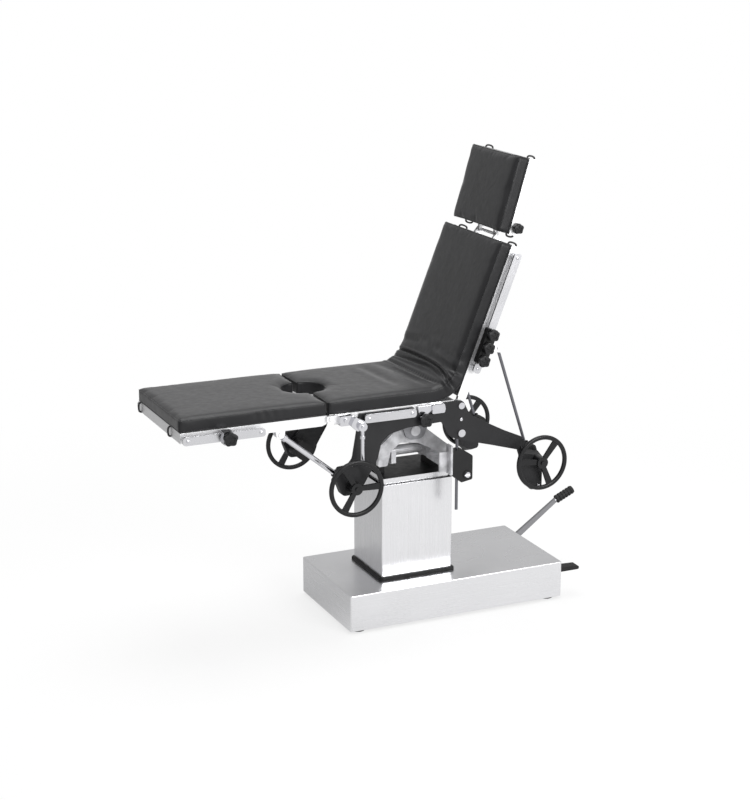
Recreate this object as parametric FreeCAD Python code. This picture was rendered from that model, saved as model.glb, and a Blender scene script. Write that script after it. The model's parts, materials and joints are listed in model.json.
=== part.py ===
import FreeCAD
import Part
import math
import os

os.makedirs("parts", exist_ok=True)

V = FreeCAD.Vector

# General sizes of the table, millimetres and degrees.
# While it is built, x = 0 is the column axis, y = 0 the middle of the table, z = 0 the floor.
TABLE_WIDTH = 500.0
PAD_THICKNESS = 50.0
PAD_EDGE_RADIUS = 9.0
PAD_CORNER_RADIUS = 22.0
SEAT_TOP_Z = 940.0
LEG_LENGTH = 575.0
SEAT_LENGTH = 550.0
BACK_LENGTH = 645.0
HEAD_GAP = 26.0
HEAD_LENGTH = 305.0
HEAD_WIDTH = TABLE_WIDTH - 100.0
SECTION_GAP = 2.0
CUTOUT_RADIUS = 80.0

# Rest pose and limits of the folding sections.
BACK_RISE = 68.5
HEAD_RISE = 5.0
BACK_FOLD_MAX = 72.5

# Section frames, pressed trays of stainless sheet.
SHEET = 3.0
TRAY_INSET = 10.0
TRAY_HALF_WIDTH = TABLE_WIDTH / 2.0 - TRAY_INSET
TRAY_DEPTH = 39.0
HEAD_TRAY_DEPTH = 34.0
SIDE_PLATE_THICKNESS = 10.0
RAIL_HEIGHT = 32.0
RAIL_THICKNESS = 8.0
RAIL_STANDOFF = 22.0

# Fold axes of the leg and back sections.
BACK_PIVOT_X = 128.0
BACK_PIVOT_DROP = 73.0
LEG_PIVOT_SETBACK = 10.0
LEG_PIVOT_DROP = 63.0
PIVOT_PIN_DIAMETER = 20.0
LEG_PIN_DIAMETER = 16.0
RUNNING_CLEARANCE = 0.05
SIDE_CLEARANCE = 0.5

# Base and column.
BASE_LENGTH = 930.0
BASE_WIDTH = 485.0
BASE_TOP_Z = 158.0
BASE_CENTRE_X = 132.0
BASE_SHEET = 2.5
BASE_CORNER_RADIUS = 8.0
FOOT_HEIGHT = 12.0
FOOT_DIAMETER = 58.0
FLOOR_PLATE_THICKNESS = 10.0
COLUMN_LENGTH = 305.0
COLUMN_WIDTH = 270.0
COLUMN_SHEET = 2.5
COLUMN_CORNER_RADIUS = 6.0
GASKET_HEIGHT = 13.0
GASKET_WIDTH = 11.0
STAGE_INSET = 12.0
HEAD_PLATE_THICKNESS = 12.0
LIFT_TRAVEL = 250.0
STAGE_REVEAL = 24.0
STAGE_SKIRT = LIFT_TRAVEL + 35.0
CYLINDER_DIAMETER = 96.0
RAM_DIAMETER = 70.0

# Tilting head.
TILT_AXIS_Z = SEAT_TOP_Z - 195.0
LATERAL_AXIS_Z = TILT_AXIS_Z - 105.0
STAGE_TOP_Z = LATERAL_AXIS_Z - 71.0
COLUMN_TOP_Z = STAGE_TOP_Z - STAGE_REVEAL
TILT_SHAFT_DIAMETER = 40.0
LATERAL_SHAFT_DIAMETER = 40.0
BLOCK_INNER_X = 101.0
BLOCK_THICKNESS = 34.0
BLOCK_HALF_WIDTH = 46.0
BLOCK_RADIUS = 42.0
CHEEK_INNER_Y = 78.0
CHEEK_THICKNESS = 20.0
LUG_THICKNESS = 16.0
DRUM_RADIUS = 45.0

# Tilt screw on the near side.
TILT_PIN_X = 129.0
TILT_PIN_Z = TILT_AXIS_Z + 13.0
TILT_PIN_DIAMETER = 16.0
TILT_SCREW_Y = -(TRAY_HALF_WIDTH - 24.0)
TILT_SCREW_DIAMETER = 12.0
TILT_BOX_SIZE = (86.0, 40.0, 134.0)
TILT_BOX_TOP_Z = TILT_PIN_Z - 72.0
TILT_SCREW_LENGTH = 306.0
TILT_SLOT = 30.0

# Screw drives of the leg and back sections.
WHEEL_Z = SEAT_TOP_Z - 322.0
FOOT_WHEEL_X = -342.0
HEAD_WHEEL_X = 446.0
WHEEL_DIAMETER = 220.0
WHEEL_RIM_WIDTH = 17.0
WHEEL_RIM_THICKNESS = 15.0
WHEEL_SHAFT_DIAMETER = 20.0
SCREW_Y = TRAY_HALF_WIDTH - 26.0
SCREW_DIAMETER = 20.0
GEAR_HOUSING_RADIUS = 44.0
GEAR_HOUSING_WIDTH = 40.0
BEARING_BOX_DEPTH = 36.0
WHEEL_MID_Y = TRAY_HALF_WIDTH + SIDE_PLATE_THICKNESS + BEARING_BOX_DEPTH + 36.0
BACK_SCREW_PIN = (252.0, 85.0)
LEG_SCREW_PIN = (194.0, 43.0)
SCREW_EYE_RADIUS = 16.0
SCREW_EYE_WIDTH = 21.0
SCREW_TAIL = 3.0
FORK_PLATE = 5.0
FORK_GAP = 1.0

# Foot controls.
PUMP_PIVOT = (BASE_CENTRE_X + BASE_LENGTH / 2.0 - 37.0, BASE_WIDTH / 2.0 - 62.5, 85.0)
PUMP_ANGLE = 35.8
PUMP_BAR_LENGTH = 300.0
PUMP_GRIP_ANGLE = 24.9
PUMP_GRIP_LENGTH = 92.0
PUMP_GRIP_DIAMETER = 36.0
RELEASE_PIVOT = (PUMP_PIVOT[0], -(BASE_WIDTH / 2.0 - 47.5), 104.0)
RELEASE_LENGTH = 132.0

# Star knobs and accessory clamps.
KNOB_RADIUS = 29.0
BACK_KNOB_RADIUS = 25.0
HEAD_KNOB_RADIUS = 22.0
KNOB_HEIGHT = 24.0
STUD_DIAMETER = 10.0
CLAMP_REACH = 18.0
POST_DROP = 188.0

# Values that follow from the sizes above.
PAD_BOTTOM_Z = SEAT_TOP_Z - PAD_THICKNESS
TRAY_BOTTOM_Z = PAD_BOTTOM_Z - TRAY_DEPTH
SEAM_X = BACK_PIVOT_X - SEAT_LENGTH
LEG_END_X = SEAM_X - LEG_LENGTH
BACK_PIVOT_Z = SEAT_TOP_Z - BACK_PIVOT_DROP
LEG_PIVOT_X = SEAM_X + LEG_PIVOT_SETBACK
LEG_PIVOT_Z = SEAT_TOP_Z - LEG_PIVOT_DROP
BACK_END_X = BACK_PIVOT_X + BACK_LENGTH
HEAD_START_X = BACK_END_X + HEAD_GAP
HEAD_PIVOT_X = BACK_END_X + HEAD_GAP / 2.0
HEAD_PIVOT_Z = BACK_PIVOT_Z
RAIL_Z = PAD_BOTTOM_Z - 24.0
PLATE_OUTER_Y = TRAY_HALF_WIDTH + SIDE_PLATE_THICKNESS
RAIL_INNER_Y = TRAY_HALF_WIDTH + RAIL_STANDOFF
RAIL_OUTER_Y = RAIL_INNER_Y + RAIL_THICKNESS
BASE_START_X = BASE_CENTRE_X - BASE_LENGTH / 2.0
BASE_END_X = BASE_CENTRE_X + BASE_LENGTH / 2.0
STAGE_LENGTH = COLUMN_LENGTH - 2.0 * STAGE_INSET
STAGE_WIDTH = COLUMN_WIDTH - 2.0 * STAGE_INSET
GRIP_CORE_RADIUS = PUMP_GRIP_DIAMETER / 2.0 - 2.5
PUMP_TIP_X = (PUMP_PIVOT[0] + PUMP_BAR_LENGTH * math.cos(math.radians(PUMP_ANGLE))
              + (PUMP_GRIP_LENGTH - 1.0) * math.cos(math.radians(PUMP_GRIP_ANGLE))
              + GRIP_CORE_RADIUS * math.sin(math.radians(PUMP_GRIP_ANGLE)))
MIDDLE_X = (LEG_END_X + PUMP_TIP_X) / 2.0


def box(x0, x1, y0, y1, z0, z1):
    return Part.makeBox(x1 - x0, y1 - y0, z1 - z0, V(x0, y0, z0))


def cylinder_x(y, z, radius, x0, x1):
    return Part.makeCylinder(radius, x1 - x0, V(x0, y, z), V(1, 0, 0))


def cylinder_y(x, z, radius, y0, y1):
    return Part.makeCylinder(radius, y1 - y0, V(x, y0, z), V(0, 1, 0))


def cylinder_z(x, y, radius, z0, z1):
    return Part.makeCylinder(radius, z1 - z0, V(x, y, z0), V(0, 0, 1))


def fused(first, *others):
    return first.fuse(list(others)).removeSplitter() if others else first


def mirrored(shape):
    return shape.mirror(V(0, 0, 0), V(0, 1, 0))


def turned(shape, x, z, degrees):
    """Turn a shape about the Y line through x, z; positive lifts the +X side."""
    result = shape.copy()
    result.rotate(V(x, 0, z), V(0, -1, 0), degrees)
    return result


def turned_point(x, z, pivot_x, pivot_z, degrees):
    angle = math.radians(degrees)
    dx, dz = x - pivot_x, z - pivot_z
    return (pivot_x + dx * math.cos(angle) - dz * math.sin(angle),
            pivot_z + dx * math.sin(angle) + dz * math.cos(angle))


def rounded_wire(points, radii, place):
    """Closed outline through the points with a tangent arc at every corner."""
    count = len(points)
    if not hasattr(radii, "__len__"):
        radii = [radii] * count
    starts, ends, edges = [], [], []
    for i, corner in enumerate(points):
        before, after = points[i - 1], points[(i + 1) % count]
        u = (before[0] - corner[0], before[1] - corner[1])
        w = (after[0] - corner[0], after[1] - corner[1])
        lu, lw = math.hypot(*u), math.hypot(*w)
        u, w = (u[0] / lu, u[1] / lu), (w[0] / lw, w[1] / lw)
        opening = math.acos(max(-1.0, min(1.0, u[0] * w[0] + u[1] * w[1])))
        back = min(radii[i] / math.tan(opening / 2.0), 0.48 * lu, 0.48 * lw)
        radius = back * math.tan(opening / 2.0)
        first = (corner[0] + u[0] * back, corner[1] + u[1] * back)
        last = (corner[0] + w[0] * back, corner[1] + w[1] * back)
        middle_line = (u[0] + w[0], u[1] + w[1])
        scale = math.hypot(*middle_line)
        reach = radius / math.sin(opening / 2.0) - radius
        mid = (corner[0] + middle_line[0] / scale * reach, corner[1] + middle_line[1] / scale * reach)
        starts.append(first)
        ends.append(last)
        edges.append(Part.Arc(place(*first), place(*mid), place(*last)).toShape())
    sides = []
    for i in range(count):
        a, b = ends[i], starts[(i + 1) % count]
        if math.hypot(a[0] - b[0], a[1] - b[1]) > 1e-6:
            sides.append(Part.makeLine(place(*a), place(*b)))
    ordered = []
    for i in range(count):
        ordered.append(edges[i])
    return Part.Wire(Part.__sortEdges__(ordered + sides))


def profile_xz(points, radii, y0, y1):
    wire = rounded_wire(points, radii, lambda a, b: V(a, y0, b))
    return Part.Face(wire).extrude(V(0, y1 - y0, 0))


def profile_xy(points, radii, z0, z1):
    wire = rounded_wire(points, radii, lambda a, b: V(a, b, z0))
    return Part.Face(wire).extrude(V(0, 0, z1 - z0))


def profile_yz(points, radii, x0, x1):
    wire = rounded_wire(points, radii, lambda a, b: V(x0, a, b))
    return Part.Face(wire).extrude(V(x1 - x0, 0, 0))


def rounded_block(x0, x1, y0, y1, z0, z1, radius):
    """Block with its four upright edges rounded."""
    return profile_xy([(x0, y0), (x1, y0), (x1, y1), (x0, y1)], radius, z0, z1)


def soft_pad(x0, x1, half_width):
    """Upholstered pad of one section, rounded along its top and bottom edges."""
    body = rounded_block(x0, x1, -half_width, half_width, PAD_BOTTOM_Z, SEAT_TOP_Z, PAD_CORNER_RADIUS)
    rims = [edge for edge in body.Edges
            if abs(edge.BoundBox.ZMax - edge.BoundBox.ZMin) < 0.01]
    return body.makeFillet(PAD_EDGE_RADIUS, rims)


def cutout(bottom, top):
    return cylinder_z(SEAM_X, 0.0, CUTOUT_RADIUS, bottom, top)


def fold_wedge(side):
    """Tool that mitres a pad end at the fold; side is -1 for the seat, +1 for the back."""
    half = math.radians(BACK_FOLD_MAX / 2.0)
    lean = math.tan(half)
    low, high = -40.0, 120.0
    near = SECTION_GAP * 0.75
    points = [(BACK_PIVOT_X + side * (near + lean * low), BACK_PIVOT_Z + low),
              (BACK_PIVOT_X + side * (near + lean * high), BACK_PIVOT_Z + high),
              (BACK_PIVOT_X - side * 400.0, BACK_PIVOT_Z + high),
              (BACK_PIVOT_X - side * 400.0, BACK_PIVOT_Z + low)]
    wire = Part.makePolygon([V(x, -TABLE_WIDTH, z) for x, z in points + points[:1]])
    return Part.Face(wire).extrude(V(0, 2.0 * TABLE_WIDTH, 0))


def tray(x0, x1, half_width, depth, ends):
    """Pressed sheet tray: top sheet, side skirts and the end skirts asked for."""
    bottom = PAD_BOTTOM_Z - depth
    shell = box(x0, x1, -half_width, half_width, PAD_BOTTOM_Z - SHEET, PAD_BOTTOM_Z)
    parts = []
    for side in (-1.0, 1.0):
        inner, outer = sorted((side * half_width, side * (half_width - SHEET)))
        parts.append(box(x0, x1, inner, outer, bottom, PAD_BOTTOM_Z - SHEET))
    if "start" in ends:
        parts.append(box(x0, x0 + SHEET, -half_width, half_width, bottom, PAD_BOTTOM_Z - SHEET))
    if "end" in ends:
        parts.append(box(x1 - SHEET, x1, -half_width, half_width, bottom, PAD_BOTTOM_Z - SHEET))
    return fused(shell, *parts)


def cross_tube(x, width, height, half_width):
    """Rectangular tube across the table under the sheet of a tray."""
    top = PAD_BOTTOM_Z - SHEET
    outer = box(x - width / 2.0, x + width / 2.0, -half_width, half_width, top - height, top)
    inner = box(x - width / 2.0 + 2.0, x + width / 2.0 - 2.0, -half_width, half_width,
                top - height + 2.0, top - 2.0)
    return outer.cut(inner)


def side_rail(x0, x1, inner_y):
    """Near side rail with rounded ends, two spacers and their screws."""
    half = RAIL_HEIGHT / 2.0
    bar = profile_xz([(x0, RAIL_Z - half), (x1, RAIL_Z - half), (x1, RAIL_Z + half), (x0, RAIL_Z + half)],
                     11.0, -RAIL_OUTER_Y, -RAIL_INNER_Y)
    pieces = []
    for x in (x0 + 18.0, x1 - 18.0):
        pieces.append(cylinder_y(x, RAIL_Z, 9.0, -RAIL_INNER_Y, -inner_y))
        pieces.append(cylinder_y(x, RAIL_Z, 5.5, -RAIL_OUTER_Y - 2.0, -RAIL_OUTER_Y))
    return fused(bar, *pieces)


def star_knob(x, z, y_seat, stud_end, size=KNOB_RADIUS):
    """Five lobed knob turning about Y on its stud, on the near side."""
    y0, y1 = y_seat - KNOB_HEIGHT, y_seat - 4.0
    lobes = [cylinder_y(x, z, size * 0.62, y0, y1)]
    for i in range(5):
        angle = math.radians(90.0 + 72.0 * i)
        reach = size * 0.66
        lobes.append(cylinder_y(x + reach * math.cos(angle), z + reach * math.sin(angle),
                                size * 0.34, y0, y1))
    lobes.append(cylinder_y(x, z, size * 0.4, y1, y_seat))
    lobes.append(cylinder_y(x, z, STUD_DIAMETER / 2.0, y_seat, stud_end))
    return fused(*lobes)


def handwheel(x, spoke_start):
    """Near handwheel: flat rim, three widening spokes, hub and stub shaft."""
    outer = WHEEL_DIAMETER / 2.0
    half = WHEEL_RIM_THICKNESS / 2.0
    y0, y1 = -WHEEL_MID_Y - half, -WHEEL_MID_Y + half
    rim = cylinder_y(x, WHEEL_Z, outer, y0, y1).cut(
        cylinder_y(x, WHEEL_Z, outer - WHEEL_RIM_WIDTH, y0, y1))
    rounded = [edge for edge in rim.Edges if edge.Closed]
    rim = rim.makeFillet(5.5, rounded)
    parts = [rim]
    for i in range(3):
        reach = outer - WHEEL_RIM_WIDTH / 2.0
        spoke = profile_xz([(x + 10.0, WHEEL_Z - 9.0), (x + reach, WHEEL_Z - 13.0),
                            (x + reach, WHEEL_Z + 13.0), (x + 10.0, WHEEL_Z + 9.0)], 2.0,
                           -WHEEL_MID_Y - 4.0, -WHEEL_MID_Y + 5.0)
        parts.append(turned(spoke, x, WHEEL_Z, spoke_start + 120.0 * i))
    bearing_face = -PLATE_OUTER_Y - BEARING_BOX_DEPTH - SIDE_CLEARANCE
    parts.append(cylinder_y(x, WHEEL_Z, 23.0, -WHEEL_MID_Y - 9.0, bearing_face))
    parts.append(cylinder_y(x, WHEEL_Z, 8.0, -WHEEL_MID_Y - 14.0, -WHEEL_MID_Y - 9.0))
    shaft_end = -SCREW_Y - GEAR_HOUSING_WIDTH / 2.0 - 1.0
    parts.append(cylinder_y(x, WHEEL_Z, WHEEL_SHAFT_DIAMETER / 2.0, bearing_face, shaft_end))
    return fused(*parts)


def screw_line(gear_x, pin_x, pin_z):
    """Direction in degrees and length from a gear axis to a screw pin."""
    dx, dz = pin_x - gear_x, pin_z - WHEEL_Z
    return math.degrees(math.atan2(dz, dx)), math.hypot(dx, dz)


def gear_housing(x, direction):
    """Near swinging gear housing around the shaft axis, bored for the screw."""
    y0, y1 = -SCREW_Y - GEAR_HOUSING_WIDTH / 2.0, -SCREW_Y + GEAR_HOUSING_WIDTH / 2.0
    r = GEAR_HOUSING_RADIUS
    body = profile_xz([(x - 0.72 * r, WHEEL_Z - 0.75 * r), (x + 0.95 * r, WHEEL_Z - 0.75 * r),
                       (x + 0.95 * r, WHEEL_Z + 0.75 * r), (x - 0.72 * r, WHEEL_Z + 0.75 * r)],
                      12.0, y0, y1)
    sleeve = cylinder_x(-SCREW_Y, WHEEL_Z, SCREW_DIAMETER / 2.0 + 5.0, x + 0.9 * r, x + 1.35 * r)
    bore = cylinder_x(-SCREW_Y, WHEEL_Z, SCREW_DIAMETER / 2.0 + RUNNING_CLEARANCE,
                      x - 2.0 * r, x + 2.0 * r)
    neck = cylinder_y(x, WHEEL_Z, 17.0, y0 - 5.5, y0)
    hole = cylinder_y(x, WHEEL_Z, WHEEL_SHAFT_DIAMETER / 2.0 + RUNNING_CLEARANCE, y0 - 6.0, y0 + 8.0)
    housing = fused(body, sleeve, neck).cut(bore).cut(hole)
    return turned(housing, x, WHEEL_Z, direction)


def drive_screw(x, direction, length):
    """Near screw along the line from the gear axis to its pin, eye at the far end."""
    rod = cylinder_x(-SCREW_Y, WHEEL_Z, SCREW_DIAMETER / 2.0, x - 0.72 * GEAR_HOUSING_RADIUS - SCREW_TAIL,
                     x + length - 6.0)
    eye = cylinder_y(x + length, WHEEL_Z, SCREW_EYE_RADIUS,
                     -SCREW_Y - SCREW_EYE_WIDTH / 2.0, -SCREW_Y + SCREW_EYE_WIDTH / 2.0)
    hole = cylinder_y(x + length, WHEEL_Z, 6.5, -SCREW_Y - SCREW_EYE_WIDTH, -SCREW_Y + SCREW_EYE_WIDTH)
    nut = cylinder_x(-SCREW_Y, WHEEL_Z, SCREW_DIAMETER / 2.0 + 4.0, x + length - 34.0, x + length - 20.0)
    return turned(fused(rod, eye, nut).cut(hole), x, WHEEL_Z, direction)


def screw_fork(x, z, top, lean):
    """Near fork plates under a tray, either side of a screw eye."""
    parts = []
    inner = SCREW_EYE_WIDTH / 2.0 + FORK_GAP
    for side in (-1.0, 1.0):
        y0, y1 = sorted((-SCREW_Y + side * inner, -SCREW_Y + side * (inner + FORK_PLATE)))
        parts.append(profile_xz([(x - 15.0, z - 14.0), (x + 15.0, z - 14.0), (x + 24.0 + lean, top),
                                 (x - 24.0 + lean, top)], [12.0, 12.0, 1.0, 1.0], y0, y1))
        y_boss = (-SCREW_Y + side * (inner + FORK_PLATE), -SCREW_Y + side * (inner + FORK_PLATE + 3.0))
        parts.append(cylinder_y(x, z, 9.0, min(y_boss), max(y_boss)))
    return parts


pieces = {}

# Base: floor plate on four levelling feet under a sheet cover.
pieces["base_frame"] = rounded_block(BASE_START_X + 6.0, BASE_END_X - 6.0, -BASE_WIDTH / 2.0 + 6.0,
                                     BASE_WIDTH / 2.0 - 6.0, FOOT_HEIGHT,
                                     FOOT_HEIGHT + FLOOR_PLATE_THICKNESS, 10.0)
floor_top = FOOT_HEIGHT + FLOOR_PLATE_THICKNESS
stiffeners = []
for y in (-150.0, 150.0):
    stiffeners.append(box(BASE_START_X + 60.0, BASE_END_X - 130.0, y - 4.0, y + 4.0, floor_top, floor_top + 60.0))
for x0 in (-120.0, 112.0):
    stiffeners.append(box(x0, x0 + 8.0, -150.0, 150.0, floor_top, floor_top + 60.0))
for pivot in (PUMP_PIVOT, RELEASE_PIVOT):
    for side in (-1.0, 1.0):
        y0, y1 = sorted((pivot[1] + side * 14.5, pivot[1] + side * 22.5))
        stiffeners.append(profile_xz([(pivot[0] - 24.0, floor_top - 1.0), (pivot[0] + 6.0, floor_top - 1.0),
                                      (pivot[0] + 15.0, pivot[2] + 15.0), (pivot[0] - 15.0, pivot[2] + 15.0)],
                                     [1.0, 1.0, 13.0, 13.0], y0, y1))
    stiffeners.append(cylinder_y(pivot[0], pivot[2], 8.0, pivot[1] - 22.5, pivot[1] + 22.5))
pieces["base_frame"] = fused(pieces["base_frame"], *stiffeners)

foot_positions = []
for x in (BASE_START_X + 48.0, BASE_END_X - 48.0):
    for y in (-BASE_WIDTH / 2.0 + 46.0, BASE_WIDTH / 2.0 - 46.0):
        foot_positions.append((x, y))
for index, (x, y) in enumerate(foot_positions):
    disc = Part.makeCone(FOOT_DIAMETER / 2.0, FOOT_DIAMETER / 2.0 - 3.0, FOOT_HEIGHT, V(x, y, 0))
    pieces["levelling_foot_%d" % (index + 1)] = disc

cover_outer = rounded_block(BASE_START_X, BASE_END_X, -BASE_WIDTH / 2.0, BASE_WIDTH / 2.0,
                            FOOT_HEIGHT, BASE_TOP_Z, BASE_CORNER_RADIUS)
top_rim = [edge for edge in cover_outer.Edges
           if edge.BoundBox.ZMin > BASE_TOP_Z - 0.01]
cover_outer = cover_outer.makeFillet(4.0, top_rim)
cover_inner = rounded_block(BASE_START_X + BASE_SHEET, BASE_END_X - BASE_SHEET,
                            -BASE_WIDTH / 2.0 + BASE_SHEET, BASE_WIDTH / 2.0 - BASE_SHEET,
                            FOOT_HEIGHT - 1.0, BASE_TOP_Z - BASE_SHEET, BASE_CORNER_RADIUS - BASE_SHEET)
cover = cover_outer.cut(cover_inner)
# Return flange that the cover stands on, around the floor plate.
flange = rounded_block(BASE_START_X + 1.0, BASE_END_X - 1.0, -BASE_WIDTH / 2.0 + 1.0, BASE_WIDTH / 2.0 - 1.0,
                       floor_top, floor_top + BASE_SHEET, BASE_CORNER_RADIUS)
flange = flange.cut(rounded_block(BASE_START_X + 24.0, BASE_END_X - 24.0, -BASE_WIDTH / 2.0 + 24.0,
                                  BASE_WIDTH / 2.0 - 24.0, floor_top - 1.0, floor_top + 9.0, 10.0))
cover = fused(cover, flange)
cover = cover.cut(rounded_block(-COLUMN_LENGTH / 2.0 + 20.0, COLUMN_LENGTH / 2.0 - 20.0,
                                -COLUMN_WIDTH / 2.0 + 20.0, COLUMN_WIDTH / 2.0 - 20.0,
                                BASE_TOP_Z - 9.0, BASE_TOP_Z + 9.0, 8.0))
cover = cover.cut(box(BASE_END_X - 26.0, BASE_END_X + 9.0, PUMP_PIVOT[1] - 17.0, PUMP_PIVOT[1] + 17.0, 66.0, 132.0))
cover = cover.cut(box(BASE_END_X - 26.0, BASE_END_X + 9.0, RELEASE_PIVOT[1] - 18.0, RELEASE_PIVOT[1] + 18.0,
                      76.0, 134.0))
pieces["base_cover"] = cover

# Column: fixed outer cover with its rubber gasket and the hydraulic cylinder.
column_outer = rounded_block(-COLUMN_LENGTH / 2.0, COLUMN_LENGTH / 2.0, -COLUMN_WIDTH / 2.0,
                             COLUMN_WIDTH / 2.0, BASE_TOP_Z, COLUMN_TOP_Z, COLUMN_CORNER_RADIUS)
column_inner = rounded_block(-COLUMN_LENGTH / 2.0 + COLUMN_SHEET, COLUMN_LENGTH / 2.0 - COLUMN_SHEET,
                             -COLUMN_WIDTH / 2.0 + COLUMN_SHEET, COLUMN_WIDTH / 2.0 - COLUMN_SHEET,
                             BASE_TOP_Z - 1.0, COLUMN_TOP_Z + 1.0, COLUMN_CORNER_RADIUS - COLUMN_SHEET)
foot_flange = rounded_block(-COLUMN_LENGTH / 2.0 + 1.0, COLUMN_LENGTH / 2.0 - 1.0, -COLUMN_WIDTH / 2.0 + 1.0,
                            COLUMN_WIDTH / 2.0 - 1.0, BASE_TOP_Z, BASE_TOP_Z + 4.0, 4.0)
foot_flange = foot_flange.cut(rounded_block(-COLUMN_LENGTH / 2.0 + 26.0, COLUMN_LENGTH / 2.0 - 26.0,
                                            -COLUMN_WIDTH / 2.0 + 26.0, COLUMN_WIDTH / 2.0 - 26.0,
                                            BASE_TOP_Z - 1.0, BASE_TOP_Z + 9.0, 8.0))
pieces["column_cover"] = fused(column_outer.cut(column_inner), foot_flange)
gasket = rounded_block(-COLUMN_LENGTH / 2.0 - GASKET_WIDTH, COLUMN_LENGTH / 2.0 + GASKET_WIDTH,
                       -COLUMN_WIDTH / 2.0 - GASKET_WIDTH, COLUMN_WIDTH / 2.0 + GASKET_WIDTH,
                       BASE_TOP_Z, BASE_TOP_Z + GASKET_HEIGHT, COLUMN_CORNER_RADIUS + GASKET_WIDTH)
gasket_rim = [edge for edge in gasket.Edges if edge.BoundBox.ZMin > BASE_TOP_Z + 1.0]
gasket = gasket.makeFillet(5.0, gasket_rim)
pieces["column_gasket"] = gasket.cut(column_outer)

cylinder_top = COLUMN_TOP_Z - 140.0
barrel = fused(cylinder_z(0.0, 0.0, CYLINDER_DIAMETER / 2.0, floor_top, cylinder_top),
               cylinder_z(0.0, 0.0, CYLINDER_DIAMETER / 2.0 + 22.0, floor_top, floor_top + 14.0),
               cylinder_z(0.0, 0.0, CYLINDER_DIAMETER / 2.0 + 6.0, cylinder_top - 26.0, cylinder_top))
pieces["lift_cylinder"] = barrel.cut(
    cylinder_z(0.0, 0.0, RAM_DIAMETER / 2.0 + RUNNING_CLEARANCE, floor_top + 18.0, cylinder_top + 1.0))

# Lifting head: ram, sliding inner cover, head plate with the bearing blocks.
ram = cylinder_z(0.0, 0.0, RAM_DIAMETER / 2.0, 92.0, STAGE_TOP_Z - 2.0)
stage_outer = rounded_block(-STAGE_LENGTH / 2.0, STAGE_LENGTH / 2.0, -STAGE_WIDTH / 2.0, STAGE_WIDTH / 2.0,
                            STAGE_TOP_Z - STAGE_SKIRT, STAGE_TOP_Z, COLUMN_CORNER_RADIUS)
stage_inner = rounded_block(-STAGE_LENGTH / 2.0 + COLUMN_SHEET, STAGE_LENGTH / 2.0 - COLUMN_SHEET,
                            -STAGE_WIDTH / 2.0 + COLUMN_SHEET, STAGE_WIDTH / 2.0 - COLUMN_SHEET,
                            STAGE_TOP_Z - STAGE_SKIRT - 1.0, STAGE_TOP_Z + 1.0,
                            COLUMN_CORNER_RADIUS - COLUMN_SHEET)
pieces["stage_cover"] = stage_outer.cut(stage_inner)
head_plate = stage_inner.common(box(-500.0, 500.0, -500.0, 500.0, STAGE_TOP_Z - HEAD_PLATE_THICKNESS,
                                    STAGE_TOP_Z))
blocks = []
for side in (-1.0, 1.0):
    x0, x1 = sorted((side * BLOCK_INNER_X, side * (BLOCK_INNER_X + BLOCK_THICKNESS)))
    blocks.append(box(x0, x1, -BLOCK_HALF_WIDTH, BLOCK_HALF_WIDTH, STAGE_TOP_Z, LATERAL_AXIS_Z))
    blocks.append(cylinder_x(0.0, LATERAL_AXIS_Z, BLOCK_RADIUS, x0, x1))
bearing = cylinder_x(0.0, LATERAL_AXIS_Z, LATERAL_SHAFT_DIAMETER / 2.0 + RUNNING_CLEARANCE, -200.0, 200.0)
pieces["lift_head"] = fused(head_plate, ram, *blocks).cut(bearing)

# Cast cradle: lateral shaft below, tilt trunnion above, cheeks on both sides.
low_z, high_z = LATERAL_AXIS_Z, TILT_AXIS_Z
cheek_outline = [(-150.0, low_z - 28.0), (-112.0, low_z - 28.0), (-98.0, low_z + 28.0), (-58.0, low_z + 60.0),
                 (20.0, low_z + 50.0), (70.0, low_z + 24.0), (120.0, low_z - 28.0), (152.0, low_z - 28.0),
                 (154.0, low_z + 24.0), (58.0, high_z - 3.0), (36.0, high_z + 41.0), (-28.0, high_z + 41.0),
                 (-66.0, high_z + 15.0), (-150.0, low_z + 50.0)]
cheek_radii = [6.0, 8.0, 20.0, 24.0, 24.0, 20.0, 8.0, 6.0, 10.0, 26.0, 26.0, 26.0, 26.0, 12.0]
cradle = []
for side in (-1.0, 1.0):
    y0, y1 = sorted((side * CHEEK_INNER_Y, side * (CHEEK_INNER_Y + CHEEK_THICKNESS)))
    cradle.append(profile_xz(cheek_outline, cheek_radii, y0, y1))
cheek_outer_y = CHEEK_INNER_Y + CHEEK_THICKNESS
lug_inner_y = cheek_outer_y + SIDE_CLEARANCE
lug_outer_y = lug_inner_y + LUG_THICKNESS
cradle.append(cylinder_y(0.0, TILT_AXIS_Z, DRUM_RADIUS, -cheek_outer_y, cheek_outer_y))
cradle.append(cylinder_y(0.0, TILT_AXIS_Z, TILT_SHAFT_DIAMETER / 2.0, -lug_outer_y - 3.0, lug_outer_y + 3.0))
for side in (-1.0, 1.0):
    x0, x1 = sorted((side * 74.0, side * 94.0))
    web = profile_yz([(-cheek_outer_y + 2.0, low_z - 24.0), (cheek_outer_y - 2.0, low_z - 24.0),
                      (cheek_outer_y - 2.0, low_z + 36.0), (-cheek_outer_y + 2.0, low_z + 36.0)], 6.0, x0, x1)
    cradle.append(web)
    cradle.append(cylinder_x(0.0, LATERAL_AXIS_Z, 34.0, x0, x1))
    cradle.append(box(min(side * 20.0, side * 84.0), max(side * 20.0, side * 84.0), -12.0, 12.0,
                      low_z + 28.0, high_z - 29.0))
cradle.append(cylinder_x(0.0, LATERAL_AXIS_Z, LATERAL_SHAFT_DIAMETER / 2.0, -BLOCK_INNER_X - BLOCK_THICKNESS - 8.0,
                         BLOCK_INNER_X + BLOCK_THICKNESS + 8.0))

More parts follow.
